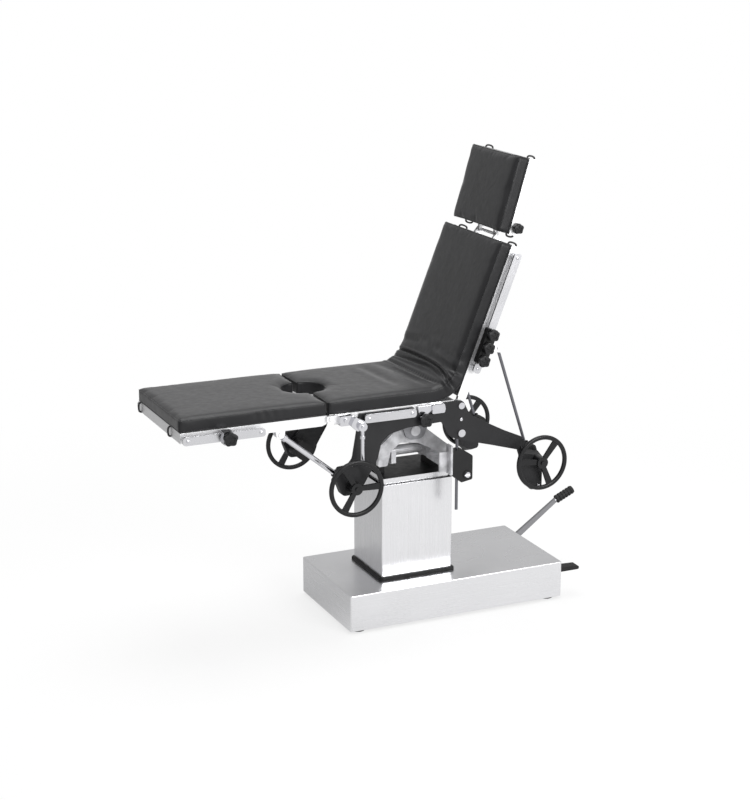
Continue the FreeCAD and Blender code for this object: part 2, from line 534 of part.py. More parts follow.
# Outrigger and gear case of the tilt screw on the near side.
box_length, box_width, box_height = TILT_BOX_SIZE
box_x0 = TILT_PIN_X + 8.0 - box_length / 2.0 + 8.0
box_x1 = box_x0 + box_length
screw_x = TILT_PIN_X
box_y0 = TILT_SCREW_Y - box_width / 2.0
box_y1 = TILT_SCREW_Y + box_width / 2.0
box_z0 = TILT_BOX_TOP_Z - box_height
bracket_x1 = box_x0
outrigger = [box(56.0, bracket_x1, box_y1 - 16.0, -cheek_outer_y, low_z - 14.0, low_z + 6.0),
             box(bracket_x1 - 9.0, bracket_x1, box_y0, box_y1, TILT_BOX_TOP_Z - 98.0, TILT_BOX_TOP_Z + 18.0),
             box(56.0, bracket_x1, box_y1 - 16.0, box_y1 - 8.0, low_z - 44.0, low_z + 36.0)]
pieces["cradle"] = fused(*cradle, *outrigger)
case = profile_xz([(box_x0, box_z0 + 32.0), (box_x0 + 38.0, box_z0), (box_x1, box_z0 + 8.0),
                   (box_x1, TILT_BOX_TOP_Z - 30.0), (box_x1 - 44.0, TILT_BOX_TOP_Z), (box_x0, TILT_BOX_TOP_Z - 4.0)],
                  [8.0, 6.0, 8.0, 10.0, 8.0, 6.0], box_y0, box_y1)
crank_x, crank_z = box_x1 - 24.0, box_z0 + 30.0
case = fused(case, cylinder_y(crank_x, crank_z, 17.0, box_y0 - 3.0, box_y0))
case = case.cut(cylinder_z(screw_x, TILT_SCREW_Y, TILT_SCREW_DIAMETER / 2.0 + RUNNING_CLEARANCE, 400.0, 800.0))
case = case.cut(cylinder_y(crank_x, crank_z, 11.0 + RUNNING_CLEARANCE, box_y0 - 5.0, box_y0 + 12.0))
pieces["tilt_gearbox"] = case
crank = cylinder_y(crank_x, crank_z, 11.0, box_y0 - 9.0, box_y0 + 11.0)
pieces["tilt_crank_shaft"] = crank.cut(box(crank_x - 12.0, crank_x + 12.0, box_y0 - 10.0, box_y0 - 5.0,
                                           crank_z - 2.5, crank_z + 2.5))

# Tilt screw: rod through the gear case, slotted yoke around the pin of the side plate.
yoke = profile_xz([(screw_x - 26.0, TILT_PIN_Z - 17.0), (screw_x + 26.0, TILT_PIN_Z - 17.0),
                   (screw_x + 26.0, TILT_PIN_Z + 15.0), (screw_x - 26.0, TILT_PIN_Z + 15.0)],
                  8.0, TILT_SCREW_Y - 7.0, TILT_SCREW_Y + 7.0)
slot_half = TILT_PIN_DIAMETER / 2.0 + 1.6
slot = fused(box(screw_x - TILT_SLOT / 2.0 + slot_half - 2.0, screw_x + TILT_SLOT / 2.0 - slot_half + 2.0,
                 TILT_SCREW_Y - 9.0, TILT_SCREW_Y + 9.0, TILT_PIN_Z - slot_half, TILT_PIN_Z + slot_half),
             cylinder_y(screw_x - TILT_SLOT / 2.0 + slot_half - 2.0, TILT_PIN_Z, slot_half,
                        TILT_SCREW_Y - 9.0, TILT_SCREW_Y + 9.0),
             cylinder_y(screw_x + TILT_SLOT / 2.0 - slot_half + 2.0, TILT_PIN_Z, slot_half,
                        TILT_SCREW_Y - 9.0, TILT_SCREW_Y + 9.0))
pieces["tilt_screw"] = fused(yoke, cylinder_z(screw_x, TILT_SCREW_Y, TILT_SCREW_DIAMETER / 2.0,
                                              TILT_PIN_Z - 14.0 - TILT_SCREW_LENGTH, TILT_PIN_Z - 14.0)).cut(slot)

# Seat section: pad, tray with hinge tongues and trunnion lugs.
seat_pad = soft_pad(SEAM_X + SECTION_GAP / 2.0, BACK_PIVOT_X + 60.0, TABLE_WIDTH / 2.0)
seat_pad = seat_pad.cut(fold_wedge(-1.0)).cut(cutout(PAD_BOTTOM_Z - 5.0, SEAT_TOP_Z + 5.0))
pieces["seat_pad"] = seat_pad

seat_start = LEG_PIVOT_X + 18.0
seat_end = BACK_PIVOT_X - 26.0
seat_tray = tray(seat_start, seat_end, TRAY_HALF_WIDTH, TRAY_DEPTH, ())
notch = cylinder_z(SEAM_X, 0.0, CUTOUT_RADIUS + 4.0, TRAY_BOTTOM_Z - 5.0, PAD_BOTTOM_Z + 5.0)
seat_parts = [seat_tray.cut(notch)]
seat_parts.append(cross_tube(seat_start + 92.0, 30.0, 34.0, TRAY_HALF_WIDTH - SHEET))
seat_parts.append(cross_tube(-62.0, 30.0, 34.0, TRAY_HALF_WIDTH - SHEET))
seat_parts.append(cross_tube(62.0, 30.0, 34.0, TRAY_HALF_WIDTH - SHEET))
for side in (-1.0, 1.0):
    y0, y1 = sorted((side * lug_inner_y, side * lug_outer_y))
    lug = profile_xz([(-34.0, TILT_AXIS_Z - 34.0), (34.0, TILT_AXIS_Z - 34.0), (90.0, TRAY_BOTTOM_Z + 6.0),
                      (90.0, PAD_BOTTOM_Z - SHEET), (-90.0, PAD_BOTTOM_Z - SHEET), (-90.0, TRAY_BOTTOM_Z + 6.0)],
                     [32.0, 32.0, 14.0, 1.0, 1.0, 14.0], y0, y1)
    seat_parts.append(lug)
    y2, y3 = sorted((side * TRAY_HALF_WIDTH, side * PLATE_OUTER_Y))
    tongue = profile_xz([(LEG_PIVOT_X - 17.0, LEG_PIVOT_Z - 15.0), (LEG_PIVOT_X + 66.0, TRAY_BOTTOM_Z + 2.0),
                         (LEG_PIVOT_X + 66.0, PAD_BOTTOM_Z - 1.0), (LEG_PIVOT_X - 17.0, PAD_BOTTOM_Z - 1.0)],
                        [12.0, 6.0, 2.0, 6.0], y2, y3)
    seat_parts.append(tongue)
    y4, y5 = sorted((side * (TRAY_HALF_WIDTH - 18.0), side * (PLATE_OUTER_Y + 5.0)))
    seat_parts.append(cylinder_y(LEG_PIVOT_X, LEG_PIVOT_Z, LEG_PIN_DIAMETER / 2.0, y4, y5))
lug_bore = cylinder_y(0.0, TILT_AXIS_Z, TILT_SHAFT_DIAMETER / 2.0 + RUNNING_CLEARANCE, -150.0, 150.0)
pieces["seat_frame"] = fused(*seat_parts).cut(lug_bore)

# Black side plates: arch over the column, bearing boxes of both drives, arm to the head end.
plate_outline = [(FOOT_WHEEL_X + 46.0, PAD_BOTTOM_Z - 6.0), (BACK_PIVOT_X - 200.0, PAD_BOTTOM_Z - 6.0),
                 (BACK_PIVOT_X - 188.0, PAD_BOTTOM_Z - 40.0), (BACK_PIVOT_X - 84.0, PAD_BOTTOM_Z - 40.0),
                 (BACK_PIVOT_X - 72.0, PAD_BOTTOM_Z - 3.0), (BACK_PIVOT_X + 8.0, PAD_BOTTOM_Z - 3.0),
                 (BACK_PIVOT_X + 32.0, PAD_BOTTOM_Z - 52.0), (BACK_PIVOT_X + 54.0, PAD_BOTTOM_Z - 72.0),
                 (BACK_PIVOT_X + 128.0, PAD_BOTTOM_Z - 113.0), (HEAD_WHEEL_X - 123.0, WHEEL_Z + 124.0),
                 (HEAD_WHEEL_X - 52.0, WHEEL_Z + 98.0), (HEAD_WHEEL_X, WHEEL_Z + 72.0),
                 (HEAD_WHEEL_X + 24.0, WHEEL_Z + 22.0), (HEAD_WHEEL_X + 24.0, WHEEL_Z - 18.0),
                 (HEAD_WHEEL_X - 26.0, WHEEL_Z - 18.0), (HEAD_WHEEL_X - 54.0, WHEEL_Z + 37.0),
                 (HEAD_WHEEL_X - 188.0, WHEEL_Z + 76.0), (BACK_PIVOT_X + 42.0, TILT_PIN_Z - 40.0),
                 (BACK_PIVOT_X - 36.0, TILT_PIN_Z - 16.0), (BACK_PIVOT_X - 56.0, TILT_PIN_Z + 2.0),
                 (BACK_PIVOT_X - 82.0, PAD_BOTTOM_Z - 78.0), (BACK_PIVOT_X - 228.0, PAD_BOTTOM_Z - 84.0),
                 (FOOT_WHEEL_X + 170.0, PAD_BOTTOM_Z - 100.0), (FOOT_WHEEL_X + 134.0, PAD_BOTTOM_Z - 132.0),
                 (FOOT_WHEEL_X + 120.0, WHEEL_Z + 82.0), (FOOT_WHEEL_X + 60.0, WHEEL_Z - 18.0),
                 (FOOT_WHEEL_X - 34.0, WHEEL_Z - 18.0), (FOOT_WHEEL_X - 38.0, WHEEL_Z + 32.0),
                 (FOOT_WHEEL_X + 16.0, WHEEL_Z + 94.0)]
plate_radii = [6.0, 6.0, 14.0, 14.0, 6.0, 24.0, 16.0, 20.0, 40.0, 60.0, 20.0, 20.0, 16.0, 16.0, 16.0,
               20.0, 60.0, 60.0, 14.0, 14.0, 12.0, 40.0, 34.0, 30.0, 40.0, 20.0, 20.0, 16.0, 30.0]
near_plate = profile_xz(plate_outline, plate_radii, -PLATE_OUTER_Y, -TRAY_HALF_WIDTH)
head_box = profile_xz([(HEAD_WHEEL_X - 66.0, WHEEL_Z + 34.0), (HEAD_WHEEL_X - 64.0, WHEEL_Z - 58.0),
                       (HEAD_WHEEL_X - 30.0, WHEEL_Z - 102.0), (HEAD_WHEEL_X + 22.0, WHEEL_Z - 102.0),
                       (HEAD_WHEEL_X + 24.0, WHEEL_Z + 46.0), (HEAD_WHEEL_X - 52.0, WHEEL_Z + 64.0)],
                      [14.0, 24.0, 24.0, 14.0, 12.0, 10.0],
                      -PLATE_OUTER_Y - BEARING_BOX_DEPTH, -PLATE_OUTER_Y)
foot_box = profile_xz([(FOOT_WHEEL_X - 52.0, WHEEL_Z + 72.0), (FOOT_WHEEL_X - 62.0, WHEEL_Z + 22.0),
                       (FOOT_WHEEL_X - 40.0, WHEEL_Z - 36.0), (FOOT_WHEEL_X + 30.0, WHEEL_Z - 36.0),
                       (FOOT_WHEEL_X + 36.0, WHEEL_Z + 42.0), (FOOT_WHEEL_X + 22.0, WHEEL_Z + 76.0)],
                      [12.0, 20.0, 20.0, 14.0, 14.0, 10.0],
                      -PLATE_OUTER_Y - BEARING_BOX_DEPTH + 4.0, -PLATE_OUTER_Y)
foot_boss = cylinder_y(FOOT_WHEEL_X, WHEEL_Z, 26.0, -PLATE_OUTER_Y - BEARING_BOX_DEPTH, -PLATE_OUTER_Y)
head_boss = cylinder_y(HEAD_WHEEL_X, WHEEL_Z, 26.0, -PLATE_OUTER_Y - BEARING_BOX_DEPTH, -TRAY_HALF_WIDTH)
near_plate = fused(near_plate, head_box, foot_box, foot_boss, head_boss)
for x in (FOOT_WHEEL_X, HEAD_WHEEL_X):
    near_plate = near_plate.cut(cylinder_y(x, WHEEL_Z, WHEEL_SHAFT_DIAMETER / 2.0 + RUNNING_CLEARANCE,
                                           -400.0, -150.0))
pivot_bore = cylinder_y(BACK_PIVOT_X, BACK_PIVOT_Z, PIVOT_PIN_DIAMETER / 2.0, -400.0, -150.0)
near_plate = near_plate.cut(pivot_bore)
pieces["side_plate_far"] = mirrored(near_plate)
tilt_bore = cylinder_y(TILT_PIN_X, TILT_PIN_Z, TILT_PIN_DIAMETER / 2.0, -400.0, -150.0)
pieces["side_plate_near"] = near_plate.cut(tilt_bore)

pin = fused(cylinder_y(BACK_PIVOT_X, BACK_PIVOT_Z, PIVOT_PIN_DIAMETER / 2.0, -PLATE_OUTER_Y, -TRAY_HALF_WIDTH + 18.0),
            cylinder_y(BACK_PIVOT_X, BACK_PIVOT_Z, 13.0, -PLATE_OUTER_Y - 6.0, -PLATE_OUTER_Y))
pieces["back_pin_near"] = pin
pieces["back_pin_far"] = mirrored(pin)
pieces["tilt_pin"] = fused(
    cylinder_y(TILT_PIN_X, TILT_PIN_Z, TILT_PIN_DIAMETER / 2.0, -PLATE_OUTER_Y, TILT_SCREW_Y + 12.0),
    cylinder_y(TILT_PIN_X, TILT_PIN_Z, 15.0, -PLATE_OUTER_Y - 8.0, -PLATE_OUTER_Y))

# Side rails; the seat rails stand on the side plates, the others on the trays.
seat_rail = side_rail(SEAM_X + 139.0, BACK_PIVOT_X - 198.0, PLATE_OUTER_Y)
pieces["seat_rail_near"] = seat_rail
pieces["seat_rail_far"] = mirrored(seat_rail)
leg_rail = side_rail(LEG_END_X + 2.0, LEG_END_X + 318.0, TRAY_HALF_WIDTH)
pieces["leg_rail_near"] = leg_rail
pieces["leg_rail_far"] = mirrored(leg_rail)

# Seat clamp and knob on the neck of the near side plate.
knob_x, knob_z = BACK_PIVOT_X - 159.0, PAD_BOTTOM_Z - 58.0
seat_clamp = fused(
    profile_xz([(knob_x + 31.0, PAD_BOTTOM_Z - 39.0), (knob_x + 83.0, PAD_BOTTOM_Z - 39.0),
                (knob_x + 87.0, PAD_BOTTOM_Z - 24.0), (knob_x + 83.0, PAD_BOTTOM_Z - 4.0),
                (knob_x + 31.0, PAD_BOTTOM_Z - 4.0)], 5.0,
               -PLATE_OUTER_Y - 12.0, -PLATE_OUTER_Y + 10.0),
    profile_xz([(knob_x - 27.0, PAD_BOTTOM_Z - 6.0), (knob_x - 13.0, PAD_BOTTOM_Z - 74.0),
                (knob_x - 3.0, PAD_BOTTOM_Z - 74.0), (knob_x + 11.0, PAD_BOTTOM_Z - 40.0),
                (knob_x + 31.0, PAD_BOTTOM_Z - 24.0), (knob_x + 31.0, PAD_BOTTOM_Z - 6.0)], 3.0,
               -PLATE_OUTER_Y - 6.0, -PLATE_OUTER_Y))
seat_clamp = seat_clamp.cut(cylinder_y(knob_x, knob_z, STUD_DIAMETER / 2.0 + RUNNING_CLEARANCE, -400.0, -150.0))
seat_clamp = seat_clamp.cut(near_plate)
pieces["seat_clamp"] = seat_clamp
pieces["side_plate_near"] = pieces["side_plate_near"].cut(
    cylinder_y(knob_x, knob_z, STUD_DIAMETER / 2.0 + RUNNING_CLEARANCE, -400.0, -150.0))
pieces["seat_knob"] = star_knob(knob_x, knob_z, -PLATE_OUTER_Y - 6.0 - SIDE_CLEARANCE, -PLATE_OUTER_Y + 6.0)

# Accessory socket beside the leg hinge with its hanging post.
post_x, post_z, post_y = SEAM_X + 118.0, PAD_BOTTOM_Z - 44.0, -RAIL_OUTER_Y - 23.0
socket = fused(
    profile_xz([(post_x - 80.0, PAD_BOTTOM_Z - 40.0), (post_x - 26.0, PAD_BOTTOM_Z - 40.0),
                (post_x - 26.0, PAD_BOTTOM_Z - 2.0), (post_x - 80.0, PAD_BOTTOM_Z - 2.0)], 5.0,
               -PLATE_OUTER_Y - 20.0, -TRAY_HALF_WIDTH),
    profile_xz([(post_x - 42.0, PAD_BOTTOM_Z - 38.0), (post_x - 18.0, PAD_BOTTOM_Z - 62.0),
                (post_x + 18.0, PAD_BOTTOM_Z - 62.0), (post_x + 18.0, PAD_BOTTOM_Z - 28.0),
                (post_x - 26.0, PAD_BOTTOM_Z - 6.0)],
               [6.0, 14.0, 14.0, 14.0, 8.0], post_y + 8.0, -PLATE_OUTER_Y - 14.0),
    cylinder_y(post_x - 56.0, PAD_BOTTOM_Z - 20.0, 9.0, -PLATE_OUTER_Y - 26.0, -PLATE_OUTER_Y - 20.0),
    cylinder_y(post_x, post_z, 7.0, post_y - 12.0, post_y + 8.0))
pieces["post_socket"] = socket.cut(near_plate).cut(pieces["seat_frame"]).cut(pieces["seat_rail_near"])
post = fused(cylinder_y(post_x, post_z, 17.0, post_y - 7.0, post_y + 7.5),
             cylinder_z(post_x, post_y, 7.0, PAD_BOTTOM_Z - POST_DROP, post_z - 8.0),
             cylinder_z(post_x, post_y, 10.0, post_z - 46.0, post_z - 34.0))
pieces["post_rod"] = post.cut(cylinder_y(post_x, post_z, 7.0 + RUNNING_CLEARANCE, post_y - 9.0, post_y + 9.0))

# Leg section: pad, tray with hinge ears and screw forks, clamp on the near rail.
leg_pad = soft_pad(LEG_END_X, SEAM_X - SECTION_GAP / 2.0, TABLE_WIDTH / 2.0)
pieces["leg_pad"] = leg_pad.cut(cutout(PAD_BOTTOM_Z - 5.0, SEAT_TOP_Z + 5.0))
leg_tray = tray(LEG_END_X + 1.0, SEAM_X - 4.0, TRAY_HALF_WIDTH - SIDE_CLEARANCE, TRAY_DEPTH, ("start",))
# The lower corners of the skirts are cut off, free of the seat tray when the section hangs.
corner = Part.Face(Part.makePolygon([V(x, -TABLE_WIDTH, z) for x, z in (
    (LEG_PIVOT_X - 38.0, TRAY_BOTTOM_Z - 2.0), (LEG_PIVOT_X - 8.0, TRAY_BOTTOM_Z - 2.0),
    (LEG_PIVOT_X - 8.0, TRAY_BOTTOM_Z + 9.0), (LEG_PIVOT_X - 38.0, TRAY_BOTTOM_Z - 2.0))]))
leg_tray = leg_tray.cut(corner.extrude(V(0, 2.0 * TABLE_WIDTH, 0)))
leg_parts = [leg_tray.cut(notch)]
leg_parts.append(cross_tube(SEAM_X - 108.0, 30.0, 34.0, TRAY_HALF_WIDTH - SIDE_CLEARANCE - SHEET))
leg_pin_x, leg_pin_z = LEG_PIVOT_X - LEG_SCREW_PIN[0], LEG_PIVOT_Z - LEG_SCREW_PIN[1]
leg_forks = screw_fork(leg_pin_x, leg_pin_z, PAD_BOTTOM_Z - SHEET, 0.0)
leg_parts += leg_forks + [mirrored(plate) for plate in leg_forks]
for side in (-1.0, 1.0):
    y0, y1 = sorted((side * (TRAY_HALF_WIDTH - SIDE_CLEARANCE), side * (TRAY_HALF_WIDTH - 14.0)))
    leg_parts.append(profile_xz([(LEG_PIVOT_X - 60.0, TRAY_BOTTOM_Z + 3.0), (LEG_PIVOT_X, LEG_PIVOT_Z - 13.0),
                                 (LEG_PIVOT_X + 12.0, LEG_PIVOT_Z - 6.0), (LEG_PIVOT_X + 12.0, LEG_PIVOT_Z + 8.0),
                                 (LEG_PIVOT_X - 60.0, LEG_PIVOT_Z + 8.0)],
                                [3.0, 12.0, 9.0, 9.0, 1.0], y0, y1))
leg_bore = cylinder_y(LEG_PIVOT_X, LEG_PIVOT_Z, LEG_PIN_DIAMETER / 2.0 + RUNNING_CLEARANCE, -300.0, 300.0)
pieces["leg_frame"] = fused(*leg_parts).cut(leg_bore)

clamp_x, clamp_z = LEG_END_X + 170.0, RAIL_Z
clamp_slot = RAIL_HEIGHT / 2.0 + 0.2
clamp = profile_xz([(clamp_x - 20.0, clamp_z - 26.0), (clamp_x + 16.0, clamp_z - 26.0),
                    (clamp_x + 16.0, clamp_z + 24.0), (clamp_x - 20.0, clamp_z + 24.0)], 4.0,
                   -RAIL_OUTER_Y - CLAMP_REACH, -RAIL_INNER_Y + 7.0)
clamp = clamp.cut(box(clamp_x - 40.0, clamp_x + 40.0, -RAIL_OUTER_Y, -RAIL_INNER_Y,
                      clamp_z - clamp_slot, clamp_z + clamp_slot))
clamp = clamp.cut(box(clamp_x - 40.0, clamp_x + 40.0, -RAIL_INNER_Y - 1.0, -RAIL_INNER_Y + 9.0,
                      clamp_z - clamp_slot + 6.0, clamp_z + clamp_slot - 6.0))
knob_stud = cylinder_y(clamp_x, clamp_z, STUD_DIAMETER / 2.0 + RUNNING_CLEARANCE, -400.0, -RAIL_OUTER_Y - 2.0)
pieces["leg_clamp"] = clamp.cut(knob_stud)
pieces["leg_knob"] = star_knob(clamp_x, clamp_z, -RAIL_OUTER_Y - CLAMP_REACH - SIDE_CLEARANCE,
                               -RAIL_OUTER_Y - 3.0)

# Back section, shaped flat and then raised about its pivot.
back_pad = soft_pad(BACK_PIVOT_X - 60.0, BACK_END_X, TABLE_WIDTH / 2.0).cut(fold_wedge(1.0))
back_tray = tray(BACK_PIVOT_X + 30.0, BACK_END_X - 6.0, TRAY_HALF_WIDTH - SIDE_CLEARANCE, TRAY_DEPTH, ("end",))
back_parts = [back_tray]
for along in (110.0, 360.0):
    back_parts.append(cross_tube(BACK_PIVOT_X + along, 30.0, 34.0, TRAY_HALF_WIDTH - SIDE_CLEARANCE - SHEET))
for side in (-1.0, 1.0):
    y0, y1 = sorted((side * (TRAY_HALF_WIDTH - SIDE_CLEARANCE), side * (TRAY_HALF_WIDTH - 15.0)))
    back_parts.append(profile_xz([(BACK_PIVOT_X - 17.0, BACK_PIVOT_Z - 15.0), (BACK_PIVOT_X + 90.0, TRAY_BOTTOM_Z + 1.0),
                                  (BACK_PIVOT_X + 90.0, PAD_BOTTOM_Z - SHEET), (BACK_PIVOT_X + 30.0, PAD_BOTTOM_Z - SHEET),
                                  (BACK_PIVOT_X - 17.0, BACK_PIVOT_Z + 15.0)],
                                 [15.0, 2.0, 1.0, 4.0, 14.0], y0, y1))
back_pin_x, back_pin_z = BACK_PIVOT_X + BACK_SCREW_PIN[0], BACK_PIVOT_Z - BACK_SCREW_PIN[1]
back_forks = screw_fork(back_pin_x, back_pin_z, TRAY_BOTTOM_Z + 9.0, 0.0)
plate_mid = SCREW_EYE_WIDTH / 2.0 + FORK_GAP + FORK_PLATE / 2.0
for y_mid in (-SCREW_Y - plate_mid, -SCREW_Y + plate_mid):
    back_forks.append(box(back_pin_x - 22.0, back_pin_x + 22.0, y_mid - FORK_PLATE / 2.0, y_mid + FORK_PLATE / 2.0,
                          TRAY_BOTTOM_Z, PAD_BOTTOM_Z - SHEET))
back_parts += back_forks + [mirrored(plate) for plate in back_forks]
# Head hinge lugs on the end of the back tray.
head_lug_y = HEAD_WIDTH * 0.175
for side in (-1.0, 1.0):
    y0, y1 = sorted((side * head_lug_y, side * (head_lug_y + 12.0)))
    back_parts.append(profile_xz([(BACK_END_X - 8.0, TRAY_BOTTOM_Z + 2.0), (HEAD_PIVOT_X + 10.0, HEAD_PIVOT_Z - 11.0),
                                  (HEAD_PIVOT_X + 10.0, HEAD_PIVOT_Z + 11.0), (BACK_END_X - 8.0, PAD_BOTTOM_Z - 1.0)],
                                 [2.0, 10.0, 10.0, 2.0], y0, y1))
back_bore = cylinder_y(BACK_PIVOT_X, BACK_PIVOT_Z, PIVOT_PIN_DIAMETER / 2.0 + RUNNING_CLEARANCE, -300.0, 300.0)
head_bore = cylinder_y(HEAD_PIVOT_X, HEAD_PIVOT_Z, 6.0 + RUNNING_CLEARANCE, -100.0, 100.0)
back_frame = fused(*back_parts).cut(back_bore).cut(head_bore)
back_rail = side_rail(BACK_PIVOT_X + 136.0, BACK_PIVOT_X + 617.0, TRAY_HALF_WIDTH - SIDE_CLEARANCE)

back_knob_places = [BACK_PIVOT_X + along for along in (191.0, 243.0, 295.0)]
back_clamp = profile_xz([(BACK_PIVOT_X + 176.0, RAIL_Z - 23.0), (BACK_PIVOT_X + 316.0, RAIL_Z - 23.0),
                         (BACK_PIVOT_X + 316.0, RAIL_Z + 21.0), (BACK_PIVOT_X + 176.0, RAIL_Z + 21.0)], 5.0,
                        -RAIL_OUTER_Y - 12.0, -RAIL_INNER_Y + 6.0)
back_clamp = back_clamp.cut(box(BACK_PIVOT_X, BACK_PIVOT_X + 400.0, -RAIL_OUTER_Y, -RAIL_INNER_Y,
                                RAIL_Z - clamp_slot, RAIL_Z + clamp_slot))
back_clamp = back_clamp.cut(box(BACK_PIVOT_X, BACK_PIVOT_X + 400.0, -RAIL_INNER_Y - 1.0, -RAIL_INNER_Y + 9.0,
                                RAIL_Z - clamp_slot + 6.0, RAIL_Z + clamp_slot - 6.0))
for x in back_knob_places:
    back_clamp = back_clamp.cut(cylinder_y(x, RAIL_Z, STUD_DIAMETER / 2.0 + RUNNING_CLEARANCE,
                                           -400.0, -RAIL_OUTER_Y - 2.0))

# Head section, shaped flat beyond the back section.
head_pad = soft_pad(HEAD_START_X, HEAD_START_X + HEAD_LENGTH, HEAD_WIDTH / 2.0)
head_half = HEAD_WIDTH / 2.0 - 8.0
head_tray = tray(HEAD_START_X + 4.0, HEAD_START_X + HEAD_LENGTH - 4.0, head_half, HEAD_TRAY_DEPTH, ("start", "end"))
head_parts = [head_tray]
for side in (-1.0, 1.0):
    y0, y1 = sorted((side * (head_lug_y - SIDE_CLEARANCE), side * (head_lug_y - 12.0)))
    head_parts.append(profile_xz([(HEAD_PIVOT_X - 10.0, HEAD_PIVOT_Z - 11.0), (HEAD_START_X + 70.0, HEAD_PIVOT_Z - 6.0),
                                  (HEAD_START_X + 70.0, PAD_BOTTOM_Z - SHEET), (HEAD_START_X + 6.0, PAD_BOTTOM_Z - SHEET),
                                  (HEAD_PIVOT_X - 10.0, HEAD_PIVOT_Z + 10.0)],
                                 [10.0, 4.0, 1.0, 2.0, 10.0], y0, y1))
head_parts.append(cylinder_y(HEAD_PIVOT_X, HEAD_PIVOT_Z, 6.0, -head_lug_y - 14.0, head_lug_y + 14.0))
head_knob_x = HEAD_START_X + 34.0
head_knob_z = PAD_BOTTOM_Z - 24.0
head_knob_bore = cylinder_y(head_knob_x, head_knob_z, STUD_DIAMETER / 2.0 + RUNNING_CLEARANCE, -300.0, -100.0)
head_frame = fused(*head_parts).cut(head_knob_bore)
head_knob = star_knob(head_knob_x, head_knob_z, -head_half - SIDE_CLEARANCE, -head_half + 12.0,
                      HEAD_KNOB_RADIUS)

raised = {"back_pad": back_pad, "back_frame": back_frame, "back_rail_near": back_rail,
          "back_rail_far": mirrored(back_rail), "back_clamp": back_clamp}
for index, x in enumerate(back_knob_places):
    raised["back_knob_%d" % (index + 1)] = star_knob(x, RAIL_Z, -RAIL_OUTER_Y - 12.0 - SIDE_CLEARANCE,
                                                      -RAIL_OUTER_Y - 3.0, BACK_KNOB_RADIUS)
for name, shape in (("head_pad", head_pad), ("head_frame", head_frame), ("head_knob", head_knob)):
    raised[name] = turned(shape, HEAD_PIVOT_X, HEAD_PIVOT_Z, HEAD_RISE)
for name, shape in raised.items():
    pieces[name] = turned(shape, BACK_PIVOT_X, BACK_PIVOT_Z, BACK_RISE)

# Screw drives: swinging gear housings, screws and handwheels on both sides.
back_pin = turned_point(back_pin_x, back_pin_z, BACK_PIVOT_X, BACK_PIVOT_Z, BACK_RISE)
drives = (("head", HEAD_WHEEL_X, back_pin, 52.0, "back_screw"),
          ("foot", FOOT_WHEEL_X, (leg_pin_x, leg_pin_z), 0.0, "leg_screw"))
for name, gear_x, target, spokes, screw_name in drives:
    direction, length = screw_line(gear_x, target[0], target[1])
    housing = gear_housing(gear_x, direction)
    screw = drive_screw(gear_x, direction, length)
    wheel = handwheel(gear_x, spokes)
    pieces[name + "_gear_near"] = housing
    pieces[name + "_gear_far"] = mirrored(housing)
    pieces[screw_name + "_near"] = screw
    pieces[screw_name + "_far"] = mirrored(screw)
    pieces[name + "_wheel_near"] = wheel
    pieces[name + "_wheel_far"] = mirrored(wheel)

# Pump lever with its rubber grip and the release pedal at the head end of the base.
pump_x, pump_y, pump_z = PUMP_PIVOT
tip_x, tip_z = pump_x + PUMP_BAR_LENGTH, pump_z
bar = profile_xz([(pump_x - 15.0, pump_z - 14.0), (tip_x + 3.0, tip_z - 9.0), (tip_x + 3.0, tip_z + 9.0),
                  (pump_x - 15.0, pump_z + 14.0)], [13.0, 3.0, 3.0, 13.0], pump_y - 6.0, pump_y + 6.0)
hub = cylinder_y(pump_x, pump_z, 15.0, pump_y - 14.0, pump_y + 14.0)
lever = turned(fused(bar, hub), pump_x, pump_z, PUMP_ANGLE)
end_x = pump_x + PUMP_BAR_LENGTH * math.cos(math.radians(PUMP_ANGLE))
end_z = pump_z + PUMP_BAR_LENGTH * math.sin(math.radians(PUMP_ANGLE))
spigot = cylinder_x(pump_y, end_z, 9.0, end_x - 4.0, end_x + PUMP_GRIP_LENGTH - 6.0)
lever = fused(lever, turned(spigot, end_x, end_z, PUMP_GRIP_ANGLE))
lever = lever.cut(cylinder_y(pump_x, pump_z, 8.0 + RUNNING_CLEARANCE, pump_y - 40.0, pump_y + 40.0))
grip_parts = [cylinder_x(pump_y, end_z, GRIP_CORE_RADIUS, end_x + 4.0, end_x + PUMP_GRIP_LENGTH - 1.0)]
for i in range(6):
    start = end_x + 6.0 + i * 14.4
    grip_parts.append(cylinder_x(pump_y, end_z, PUMP_GRIP_DIAMETER / 2.0, start, start + 8.0))
grip = turned(fused(*grip_parts), end_x, end_z, PUMP_GRIP_ANGLE)
pieces["pump_grip"] = grip.cut(lever)
pieces["pump_lever"] = lever
release_x, release_y, release_z = RELEASE_PIVOT
release = fused(
    cylinder_y(release_x, release_z, 15.0, release_y - 14.0, release_y + 14.0),
    box(release_x, release_x + RELEASE_LENGTH - 2.0, release_y - 9.0, release_y + 9.0, release_z - 7.0, release_z + 3.0),
    profile_xz([(BASE_END_X + 7.0, release_z), (release_x + RELEASE_LENGTH, release_z - 1.0),
                (release_x + RELEASE_LENGTH, release_z + 13.0), (BASE_END_X + 7.0, release_z + 17.0)],
               [3.0, 5.0, 6.0, 6.0], release_y - 22.0, release_y + 22.0))
pieces["release_pedal"] = release.cut(
    cylinder_y(release_x, release_z, 8.0 + RUNNING_CLEARANCE, release_y - 40.0, release_y + 40.0))

# Placed so that x = 0 is the middle of the whole length, then written out.
for name, shape in sorted(pieces.items()):
    placed = shape.copy()
    placed.translate(V(-MIDDLE_X, 0, 0))
    placed.exportStep("parts/%s.step" % name)
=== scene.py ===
"""Operating table: the looks of every piece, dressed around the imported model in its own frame."""

import json
import logging
import math
from dataclasses import dataclass, field
from enum import Enum
from typing import Callable, Sequence

